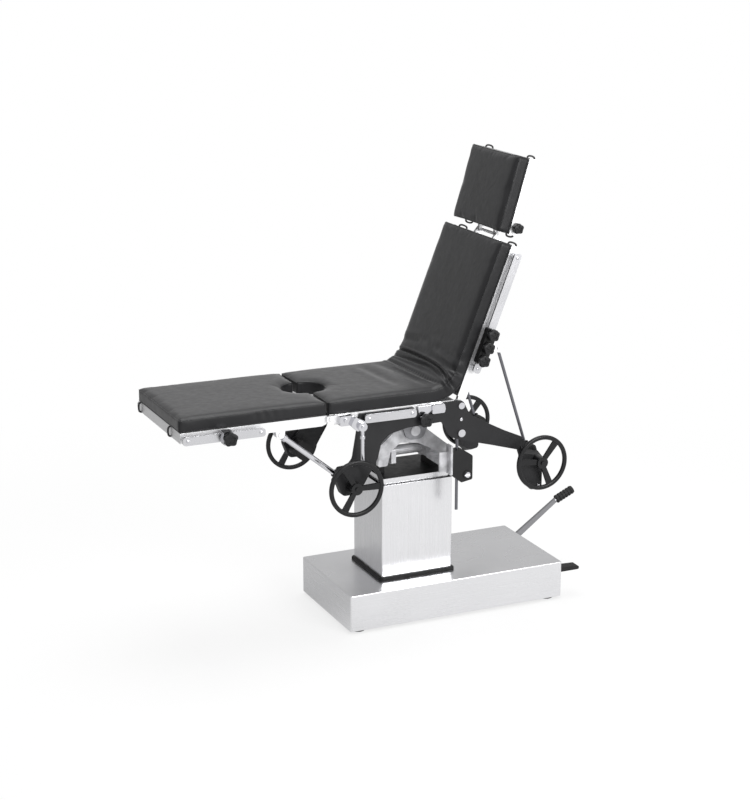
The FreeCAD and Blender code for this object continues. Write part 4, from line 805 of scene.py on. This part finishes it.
@dataclass
class Upholstery:
    """The three cushions of the table with their seams and elastic loops."""
    fold: Fold = field(default_factory=Fold)
    blend_half: float = 90.0
    blend_middle: tuple[float, float, float] = (95.0, 0.0, 915.0)
    fill: float = 0.85
    loop_radius: float = 3.6
    loop_reach: float = 8.0
    leg_loops: tuple[float, float] = (-130.0, 222.0)
    back_loop_y: float = 204.96
    head_loop_y: float = 168.0

    def mattress(self) -> Cushion:
        """One-piece cushion of the seat and back sections, bunched at the fold."""
        creases = (
            Crease((176.0, 340.0), (240.0, 90.0), (212.0, -170.0), 11.0, 12.5),
            Crease((224.0, -40.0), (220.0, -200.0), (100.0, -300.0), 11.0, 12.5),
            Crease((126.0, 300.0), (166.0, 60.0), (186.0, -110.0), 11.0, 7.0),
            Crease((186.0, -20.0), (184.0, -190.0), (110.0, -290.0), 11.0, 6.5),
            Crease((66.0, 310.0), (60.0, 60.0), (104.0, -270.0), 14.0, 5.5),
            Crease((42.0, 130.0), (54.0, -70.0), (92.0, -230.0), 12.0, 4.6),
            Crease((-24.0, 220.0), (-4.0, 40.0), (12.0, -240.0), 18.0, 4.2),
            Crease((-106.0, 230.0), (-98.0, 20.0), (-84.0, -200.0), 19.0, 3.2),
            Crease((256.0, 280.0), (294.0, 160.0), (292.0, 20.0), 13.0, 5.5),
            Crease((276.0, 10.0), (254.0, -150.0), (236.0, -330.0), 14.0, 6.0),
            Crease((290.0, 20.0), (312.0, -120.0), (284.0, -300.0), 14.0, 4.0),
        )
        return Cushion("mattress", SEAM_X + 1.0, BACK_END_X, 250.0, self.fold.bend, cutout_side=-1,
                       creases=creases, wrinkle_zone=(60.0, 240.0, 0.2))

    def leg_cushion(self) -> Cushion:
        """Cushion of the leg section, with small ripples in its near side band."""
        ripples = ((-708.0, 11.0, 3.0), (-674.0, 10.0, 4.2), (-640.0, 11.0, 3.4), (-604.0, 11.0, 2.0))
        return Cushion("leg_cushion", LEG_END_X - 9.0, SEAM_X - 1.0, 250.0, flat, cutout_side=1,
                       side_creases=ripples)

    def head_cushion(self) -> Cushion:
        """Cushion of the headrest."""
        return Cushion("head_cushion", HEAD_START_X, HEAD_END_X, 200.0, on_head)

    def loop(self, name: str, x: float, y: float, outward: int, drop: float,
             place: Callable[[np.ndarray], np.ndarray], body: str) -> None:
        """Elastic loop that ties a cushion over the end of its tray.

        Args:
            name: name of the piece.
            x: end of the tray.
            y: middle of the band.
            outward: -1 when the loop bulges to -X, +1 to +X.
            drop: depth of the tray that it goes round.
            place: from the flat section to the raised one.
            body: the body that carries it.
        """
        reach = self.loop_reach
        sides = ((-10.0, -1.0), (3.0, -1.0), (reach, -4.0), (reach * 1.25, -drop * 0.5), (reach, 3.0 - drop),
                 (3.0, 1.0 - drop), (-8.0, -drop - 1.0))
        places = [(x + outward * out, y, PAD_BOTTOM + down) for out, down in sides]
        item = tube(name, places, self.loop_radius, False)
        write_points(item.data, to_row(place(read_points(item.data))))
        settle(item, Finish.ELASTIC, body)

    def build(self) -> None:
        """Make all cushions, seams and loops."""
        item, seams = self.mattress().build()
        for piece in [item] + seams:
            dress(piece, Finish.UPHOLSTERY)
            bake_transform(piece)
        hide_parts("seat_pad", "back_pad")
        LOG.info("mattress blends from seat to back")
        for cushion, body in ((self.leg_cushion(), "leg"), (self.head_cushion(), "head")):
            item, seams = cushion.build()
            settle(item, Finish.UPHOLSTERY, body, body + "_pad")
            for seam in seams:
                settle(seam, Finish.UPHOLSTERY, body)
        for index, y in enumerate(self.leg_loops):
            self.loop("leg_loop_%d" % (index + 1), LEG_END_X + 1.0, y, -1, TRAY_DROP, flat, "leg")
        for number, side in (("1", -1), ("2", 1)):
            y = side * self.back_loop_y
            self.loop("back_loop_" + number, BACK_END_X - 6.0, y, 1, TRAY_DROP, on_back, "back")
            y = side * self.head_loop_y
            self.loop("head_loop_low_" + number, HEAD_START_X + 4.0, y, -1, HEAD_TRAY_DROP, on_head, "head")
            self.loop("head_loop_top_" + number, HEAD_END_X - 4.0, y, 1, HEAD_TRAY_DROP, on_head, "head")


# Knobs and fasteners

@dataclass
class StarKnob:
    """Five-lobed moulded knob with a recessed cap and a plated collar, turning about Y on its own body."""
    node: str
    radius: float
    grip_depth: float = 19.0
    lobe: float = 0.08
    edge_radius: float = 3.2
    neck: float = 4.5

    def axis(self) -> tuple[float, float, float, float]:
        """Row x and z of the stud and the y of the knob's face and of the stud's end, in metres."""
        points = np.array([v.co for v in frame["nodes"][self.node].data.vertices])
        inner, outer = points[:, 1].max(), points[:, 1].min()
        tip = points[np.abs(points[:, 1] - inner) < 1e-5]
        centre = (tip.max(axis=0) + tip.min(axis=0)) / 2.0
        return centre[0], centre[2], outer, inner

    def grip(self) -> BMesh:
        """Lobed grip that stands on z = 0 with its recessed cap upwards, in metres."""
        reach = self.radius * MM
        shape = bmesh.new()
        bmesh.ops.create_circle(shape, cap_ends=True, segments=70, radius=reach)
        for vert in shape.verts:
            angle = math.atan2(vert.co.y, vert.co.x)
            vert.co *= 1.0 - self.lobe + self.lobe * math.cos(5.0 * (angle - math.pi / 2.0))
        push_face(shape, shape.faces[:], self.grip_depth * MM)
        bevel(shape, rim_edges(shape, 1e-7), self.edge_radius * MM, 3)
        top = max(shape.faces, key=lambda f: f.calc_center_median().z)
        bmesh.ops.inset_region(shape, faces=[top], thickness=reach * 0.28, depth=0.0)
        top = max(shape.faces, key=lambda f: (round(f.calc_center_median().z, 6), f.calc_area()))
        bmesh.ops.inset_region(shape, faces=[top], thickness=0.8 * MM, depth=-1.6 * MM)
        low = min(shape.faces, key=lambda f: f.calc_center_median().z)
        bmesh.ops.inset_region(shape, faces=[low], thickness=reach * 0.3, depth=0.0)
        low = min(shape.faces, key=lambda f: (round(f.calc_center_median().z, 6), -f.calc_area()))
        push_face(shape, [low], -self.neck * MM)
        return shape

    def build(self) -> None:
        """Make the knob and its stud."""
        x, z, outer, inner = self.axis()
        depth = self.grip_depth * MM
        turn = Matrix.Rotation(math.radians(90.0), 4, "X")
        grip = self.grip()
        bmesh.ops.transform(grip, matrix=Matrix.Translation((x, outer + depth, z)) @ turn, verts=grip.verts)
        settle(bmesh_object(self.node + "_star", grip), Finish.KNOB, self.node, self.node)
        stud = bmesh.new()
        length = abs(inner - outer) - depth
        add_cylinder(stud, 5.0 * MM, length, 32)
        collar = add_cylinder(stud, 7.5 * MM, 2.0 * MM, 32)
        bmesh.ops.translate(stud, vec=(0.0, 0.0, length / 2.0 - 5.5 * MM), verts=collar)
        middle = Matrix.Translation((x, (inner + outer + depth) / 2.0, z))
        bmesh.ops.transform(stud, matrix=middle @ turn, verts=stud.verts)
        settle(bmesh_object(self.node + "_stud", stud), Finish.ZINC, self.node)


class HeadStyle(Enum):
    """Steps of a bolt head's top, rim first: inset over the radius and rise over the height."""
    DOME = ((0.34, 0.34), (0.36, 0.1), (0.05, -0.5))
    SOCKET = ((0.14, 0.1), (0.34, 0.0), (0.04, -0.55))


def connected(verts: Sequence[BMVert]) -> list[BMVert]:
    """All vertices that edges join to the given ones, with these."""
    reached, edge = set(verts), list(verts)
    while edge:
        vert = edge.pop()
        for link in vert.link_edges:
            other = link.other_vert(vert)
            if other not in reached:
                reached.add(other)
                edge.append(other)
    return list(reached)


@dataclass
class FastenerSet:
    """Heads of one kind on one body; each place is x, y and z in millimetres with its facing along Y."""
    name: str
    body: str
    style: HeadStyle
    radius: float
    height: float
    places: Sequence[tuple[float, float, float, int]]
    finish: Finish = Finish.ZINC
    place: Callable[[np.ndarray], np.ndarray] = flat

    def head(self, shape: BMesh) -> list[BMVert]:
        """Add one head that stands on z = 0 and return its vertices."""
        verts = add_cylinder(shape, self.radius, self.height, 28)
        bmesh.ops.translate(shape, vec=(0.0, 0.0, self.height / 2.0), verts=verts)
        faces = {face for vert in verts for face in vert.link_faces}
        top = max(faces, key=lambda f: f.calc_center_median().z)
        for inset, rise in self.style.value:
            bmesh.ops.inset_region(shape, faces=[top], thickness=self.radius * inset,
                                   depth=self.height * rise)
        return connected(verts)

    def build(self) -> None:
        """Make all heads of the set as one piece."""
        shape = bmesh.new()
        for x, y, z, facing in self.places:
            verts = self.head(shape)
            turn = Matrix.Rotation(math.radians(90.0 if facing < 0 else -90.0), 4, "X")
            bmesh.ops.transform(shape, matrix=Matrix.Translation((x, y, z)) @ turn, verts=verts)
        item = bmesh_object(self.name, shape, 30.0)
        write_points(item.data, to_row(self.place(read_points(item.data))))
        settle(item, self.finish, self.body)


@dataclass
class SmallHardware:
    """Knobs, rail screws and plate bolts: x of a rail's end screws, x and z of a bolt."""
    knob_radii: dict[str, float] = field(default_factory=lambda: {
        "leg_knob": 28.0, "seat_knob": 28.0, "back_knob_1": 24.5, "back_knob_2": 24.5, "back_knob_3": 24.5,
        "head_knob": 21.5})
    rail_screw: tuple[float, float] = (6.2, 2.6)        # radius and height
    seat_rail: tuple[float, float] = (-265.0, -88.0)
    leg_rail: tuple[float, float] = (-977.0, -697.0)
    back_rail: tuple[float, float] = (282.0, 727.0)
    hub_bolt: tuple[float, float] = (452.0, 514.0)
    plate_bolt: tuple[float, float] = (128.0, 812.0)
    bearing_box: float = 36.0

    def build(self) -> None:
        """Make every knob and fastener."""
        for node, radius in self.knob_radii.items():
            StarKnob(node, radius).build()
        for body, spots, place in (("seat", self.seat_rail, flat), ("leg", self.leg_rail, flat),
                                   ("back", self.back_rail, on_back)):
            places = [(x, side * RAIL_OUTER_Y, RAIL_Z, side) for x in spots for side in (-1, 1)]
            FastenerSet(body + "_rail_screws", body, HeadStyle.DOME, *self.rail_screw, places,
                        place=place).build()
        for name, radius, (x, z), y in (
                ("head_bearing_bolts", 6.5, self.hub_bolt, PLATE_OUTER_Y + self.bearing_box),
                ("plate_bolts", 6.0, self.plate_bolt, PLATE_OUTER_Y)):
            places = [(x, side * y, z, side) for side in (-1, 1)]
            FastenerSet(name, "seat", HeadStyle.SOCKET, radius, 3.0, places, Finish.CHROME).build()


# Carried-over nodes

def copy_of(node: str, name: str) -> Object:
    """New object with its own copy of a CAD node's mesh, in the row frame."""
    source = frame["nodes"][node]
    mesh = source.data.copy()
    mesh.transform(source.matrix_world)
    return new_object(name, mesh)


@dataclass
class DriveScrews:
    """Back section screws with a thinner shank below the eye."""
    shank_radius: float = 6.0
    eye_reach: float = 34.0

    def slim(self, side: str) -> None:
        """Make one screw from its CAD form with a thinner shank."""
        item = copy_of("back_screw_" + side, "back_screw_shank_" + side)
        points = read_points(item.data) / MM
        level = points[:, 1].mean()
        profile = points[:, [0, 2]]         # x and z; the screw lies along their longest direction
        middle = profile.mean(axis=0)
        _, _, ways = np.linalg.svd(profile - middle, full_matrices=False)
        way = ways[0] if ways[0][1] > 0 else -ways[0]
        along = (profile - middle) @ way
        off = profile - middle - np.outer(along, way)
        shank = along < along.max() - self.eye_reach
        centre = np.median(off[shank], axis=0)
        off -= centre
        across = points[:, 1] - level
        reach = np.sqrt((off ** 2).sum(axis=1) + across ** 2)
        thin = shank & (reach > self.shank_radius)
        share = np.where(thin, self.shank_radius / np.maximum(reach, 1e-6), 1.0)
        points[:, [0, 2]] = middle + centre + np.outer(along, way) + off * share[:, None]
        points[:, 1] = level + across * share
        write_points(item.data, points * MM)
        settle(item, Finish.GROUND_STEEL, "back_screws", "back_screw_" + side)

    def build(self) -> None:
        """Make both screws."""
        for side in ("near", "far"):
            self.slim(side)


@dataclass
class SidePlates:
    """Black side plates with the bearing box of the head drive kept low under the wheel's hub.

    Points of the box are found by their distance from the hub and from the plate's face. The arm above it
    slopes down to the box from arm_fade before the hub.
    """
    hub: tuple[float, float] = (446.0, 618.0)
    box_face: float = 252.0
    hub_reach: float = 31.0
    top_drop: float = 30.0
    foot_drop: float = 16.0
    arm_fade: float = 56.0
    arm_ramp: float = 30.0
    arm_slope: float = 0.7
    arm_rise: float = 12.0
    box_half: float = 90.0
    foot_from: float = 50.0
    back_from: float = 40.0
    back_shift: float = 8.0

    def build(self) -> None:
        """Make both plates."""
        for side in ("near", "far"):
            item = copy_of("side_plate_" + side, "side_plate_painted_" + side)
            points = read_points(item.data) / MM
            dx, dz = points[:, 0] - COLUMN_X - self.hub[0], points[:, 2] - self.hub[1]
            box = ((np.abs(points[:, 1]) > self.box_face) & (np.hypot(dx, dz) > self.hub_reach)
                   & (np.abs(dx) < self.box_half))
            points[:, 2] -= np.where(box & (dz > 0.0), self.top_drop, 0.0)
            points[:, 2] -= np.where(box & (dz < -self.foot_from), self.foot_drop, 0.0)
            points[:, 0] -= np.where(box & (dx < -self.back_from), self.back_shift, 0.0)
            end = np.clip((dx + self.arm_fade) / self.arm_ramp, 0.0, 1.0) * (dz > self.hub_reach) * ~box
            points[:, 2] -= end * (self.arm_slope * dz - self.arm_rise)
            write_points(item.data, points * MM)
            settle(item, Finish.BLACK_PAINT, "seat", "side_plate_" + side)


@dataclass
class CarriedNodes:
    """CAD nodes whose shape stays, listed under their finish."""
    finishes: dict[Finish, str] = field(default_factory=lambda: {
        Finish.BASE_SHEET: "base_cover",
        Finish.COLUMN_SHEET: "column_cover stage_cover",
        Finish.TRAY_SHEET: "seat_frame leg_frame",
        Finish.BACK_SHEET: "back_frame head_frame",
        Finish.RAIL: "seat_rail_near seat_rail_far leg_rail_near leg_rail_far",
        Finish.BACK_RAIL: "back_rail_near back_rail_far",
        Finish.LEVER_STEEL: "pump_lever",
        Finish.GROUND_STEEL: "lift_cylinder tilt_screw",
        Finish.CHROME: "tilt_crank_shaft back_pin_near back_pin_far tilt_pin seat_clamp post_socket post_rod "
                       "leg_screw_near leg_screw_far",
        Finish.ZINC: "leg_clamp",
        Finish.CASTING: "cradle",
        Finish.GEAR_PAINT: "base_frame lift_head tilt_gearbox back_clamp head_gear_near head_gear_far "
                           "foot_gear_near foot_gear_far",
        Finish.WHEEL: "head_wheel_near head_wheel_far foot_wheel_near foot_wheel_far",
        Finish.RUBBER: "levelling_foot_1 levelling_foot_2 levelling_foot_3 levelling_foot_4 pump_grip "
                       "release_pedal",
        Finish.GASKET: "column_gasket"})
    lug: tuple[float, float] = (98.2, 120.0)
    tray_z: float = 852.0
    bracket_x: float = 100.0

    def build(self) -> None:
        """Give every carried-over node its finish."""
        for finish, names in self.finishes.items():
            for name in names.split():
                dress(frame["nodes"][name], finish)
                LOG.info("%s keeps its CAD shape, finish %s", name, finish.name.lower())
        inner, outer = self.lug
        self.part_finish("seat_frame", Finish.DARK_CASTING,
                         lambda c: inner < abs(c.y) < outer and c.z < self.tray_z)
        self.part_finish("cradle", Finish.TRAY_SHEET, lambda c: c.y < -inner and c.x > self.bracket_x)

    def part_finish(self, name: str, finish: Finish, inside: Callable[[Vector], bool]) -> None:
        """Give a second finish to the faces of a node whose middle lies inside a region, in millimetres."""
        item = frame["nodes"][name]
        item.data.materials.append(finish.material())
        for face in item.data.polygons:
            spot = item.matrix_world @ face.center / MM
            if inside(Vector((spot.x - COLUMN_X, spot.y, spot.z))):
                face.material_index = 1


# Studio

@dataclass
class Studio:
    """Pale floor, soft lamps and the camera of the photograph."""
    target: tuple[float, float, float] = (-0.0679, 0.0, 0.8541)
    distance: float = 7.1867
    azimuth: float = -24.453
    elevation: float = 15.557
    lens: float = 83.23
    white: str = "#ffffff"
    world_level: float = 0.62
    shadow_share: float = 0.25
    dim_level: float = 0.5
    foot_share: float = 0.45
    floor_half: float = 60.0
    floor_fade: tuple[float, float] = (0.9, 3.2)
    floor_grade: tuple[float, float] = (-0.5, 0.4)

    def see_white(self, tree: NodeTree) -> tuple[NodeSocket, NodeSocket]:
        """Two numbers: one for rays from the camera and through glass, and one for rays from mirrors."""
        rays = add_node(tree, "ShaderNodeLightPath").outputs
        straight = calculate(tree, "MAXIMUM", rays["Is Camera Ray"], rays["Is Transmission Ray"])
        return straight, rays["Is Glossy Ray"]

    def graded(self, tree: NodeTree, place: NodeSocket, span: tuple[float, float],
               low: float) -> NodeSocket:
        """Level of the mirrored studio: bright in front of the table, dimmer at its foot and behind it."""
        parts = add_node(tree, "ShaderNodeSeparateXYZ", links={"Vector": place}).outputs
        back = calculate(tree, "MULTIPLY", parts["Y"], -1.0)
        front = calculate(tree, "MULTIPLY_ADD", parts["X"], self.foot_share, back)
        return map_range(tree, front, span, (low, 1.0), "SMOOTHSTEP")

    def floor(self) -> None:
        """Wide pale floor that keeps the table's shadow and fades to white with distance."""
        shape = bmesh.new()
        bmesh.ops.create_grid(shape, x_segments=4, y_segments=4, size=self.floor_half)
        item = bmesh_object("studio_floor", shape, None)
        material = bpy.data.materials.new("pale_studio_floor")
        material.use_nodes = True
        tree = material.node_tree
        tree.nodes.clear()
        place = add_node(tree, "ShaderNodeTexCoord").outputs["Object"]
        reach = add_node(tree, "ShaderNodeVectorMath", settings={"operation": "LENGTH"}, links={0: place})
        fade = map_range(tree, reach.outputs["Value"], self.floor_fade, (1.0 - self.shadow_share, 1.0),
                         "SMOOTHSTEP")
        straight, mirrored = self.see_white(tree)
        share = calculate(tree, "MULTIPLY", calculate(tree, "MAXIMUM", straight, mirrored), fade)
        level = self.graded(tree, place, self.floor_grade, self.dim_level)
        strength = add_node(tree, "ShaderNodeMix", settings={"data_type": "FLOAT"}, values={2: 1.0},
                            links={0: mirrored, 3: level})
        dull = add_node(tree, "ShaderNodeBsdfDiffuse", values={"Color": linear("#f4f4f4")})
        glow = add_node(tree, "ShaderNodeEmission", values={"Color": linear(self.white)},
                        links={"Strength": strength.outputs[0]})
        mixed = add_node(tree, "ShaderNodeMixShader",
                         links={0: share, 1: dull.outputs[0], 2: glow.outputs[0]})
        add_node(tree, "ShaderNodeOutputMaterial", links={"Surface": mixed.outputs[0]})
        item.data.materials.append(material)

    def world(self) -> None:
        """Even light from all round, seen as plain white."""
        world = bpy.data.worlds.new("studio_world")
        bpy.context.scene.world = world
        world.use_nodes = True
        tree = world.node_tree
        tree.nodes.clear()
        way = add_node(tree, "ShaderNodeTexCoord").outputs["Generated"]
        straight, mirrored = self.see_white(tree)
        plain = map_range(tree, straight, (0.0, 1.0), (self.world_level, 1.0))
        level = self.graded(tree, way, (-1.0, 1.0), self.dim_level + 0.08)
        strength = add_node(tree, "ShaderNodeMix", settings={"data_type": "FLOAT"},
                            links={0: mirrored, 2: plain, 3: level})
        sky = add_node(tree, "ShaderNodeBackground", values={"Color": linear(self.white)},
                       links={"Strength": strength.outputs[0]})
        add_node(tree, "ShaderNodeOutputWorld", links={"Surface": sky.outputs[0]})

    def lamp(self, name: str, spot: tuple[float, float, float], aim: tuple[float, float, float], side: float,
             watts: float) -> None:
        """One square soft lamp that looks at a point."""
        data = bpy.data.lights.new(name, "AREA")
        data.shape = "SQUARE"
        data.size = side
        data.energy = watts
        item = bpy.data.objects.new(name, data)
        item.location = spot
        item.rotation_euler = (Vector(aim) - Vector(spot)).to_track_quat("-Z", "Y").to_euler()
        bpy.context.scene.collection.objects.link(item)

    def camera(self) -> None:
        """Camera at the photograph's place."""
        data = bpy.data.cameras.new("photo_camera")
        data.lens = self.lens
        data.sensor_width = 36.0
        data.clip_end = 60.0
        item = bpy.data.objects.new("photo_camera", data)
        around, up = math.radians(self.azimuth), math.radians(self.elevation)
        back = Vector((math.sin(around) * math.cos(up), -math.cos(around) * math.cos(up), math.sin(up)))
        item.location = Vector(self.target) + back * self.distance
        item.rotation_euler = (-back).to_track_quat("-Z", "Y").to_euler()
        bpy.context.scene.collection.objects.link(item)
        bpy.context.scene.camera = item

    def build(self) -> None:
        """Set up floor, light, view and camera."""
        self.floor()
        self.world()
        self.lamp("key_lamp", (1.6, -4.6, 2.6), (0.0, 0.0, 0.6), 2.6, 150.0)
        self.lamp("top_lamp", (0.2, 0.6, 4.6), (0.0, 0.0, 0.8), 3.0, 110.0)
        self.camera()
        bpy.context.scene.view_settings.view_transform = "Standard"
        LOG.info("studio ready")


def main() -> None:
    """Build the studio and every sub-assembly in order."""
    for part in (Studio(), CarriedNodes(), SidePlates(), DriveScrews(), Upholstery(), SmallHardware()):
        part.build()
        LOG.info("%s done", type(part).__name__)


if __name__ == "__main__":
    main()
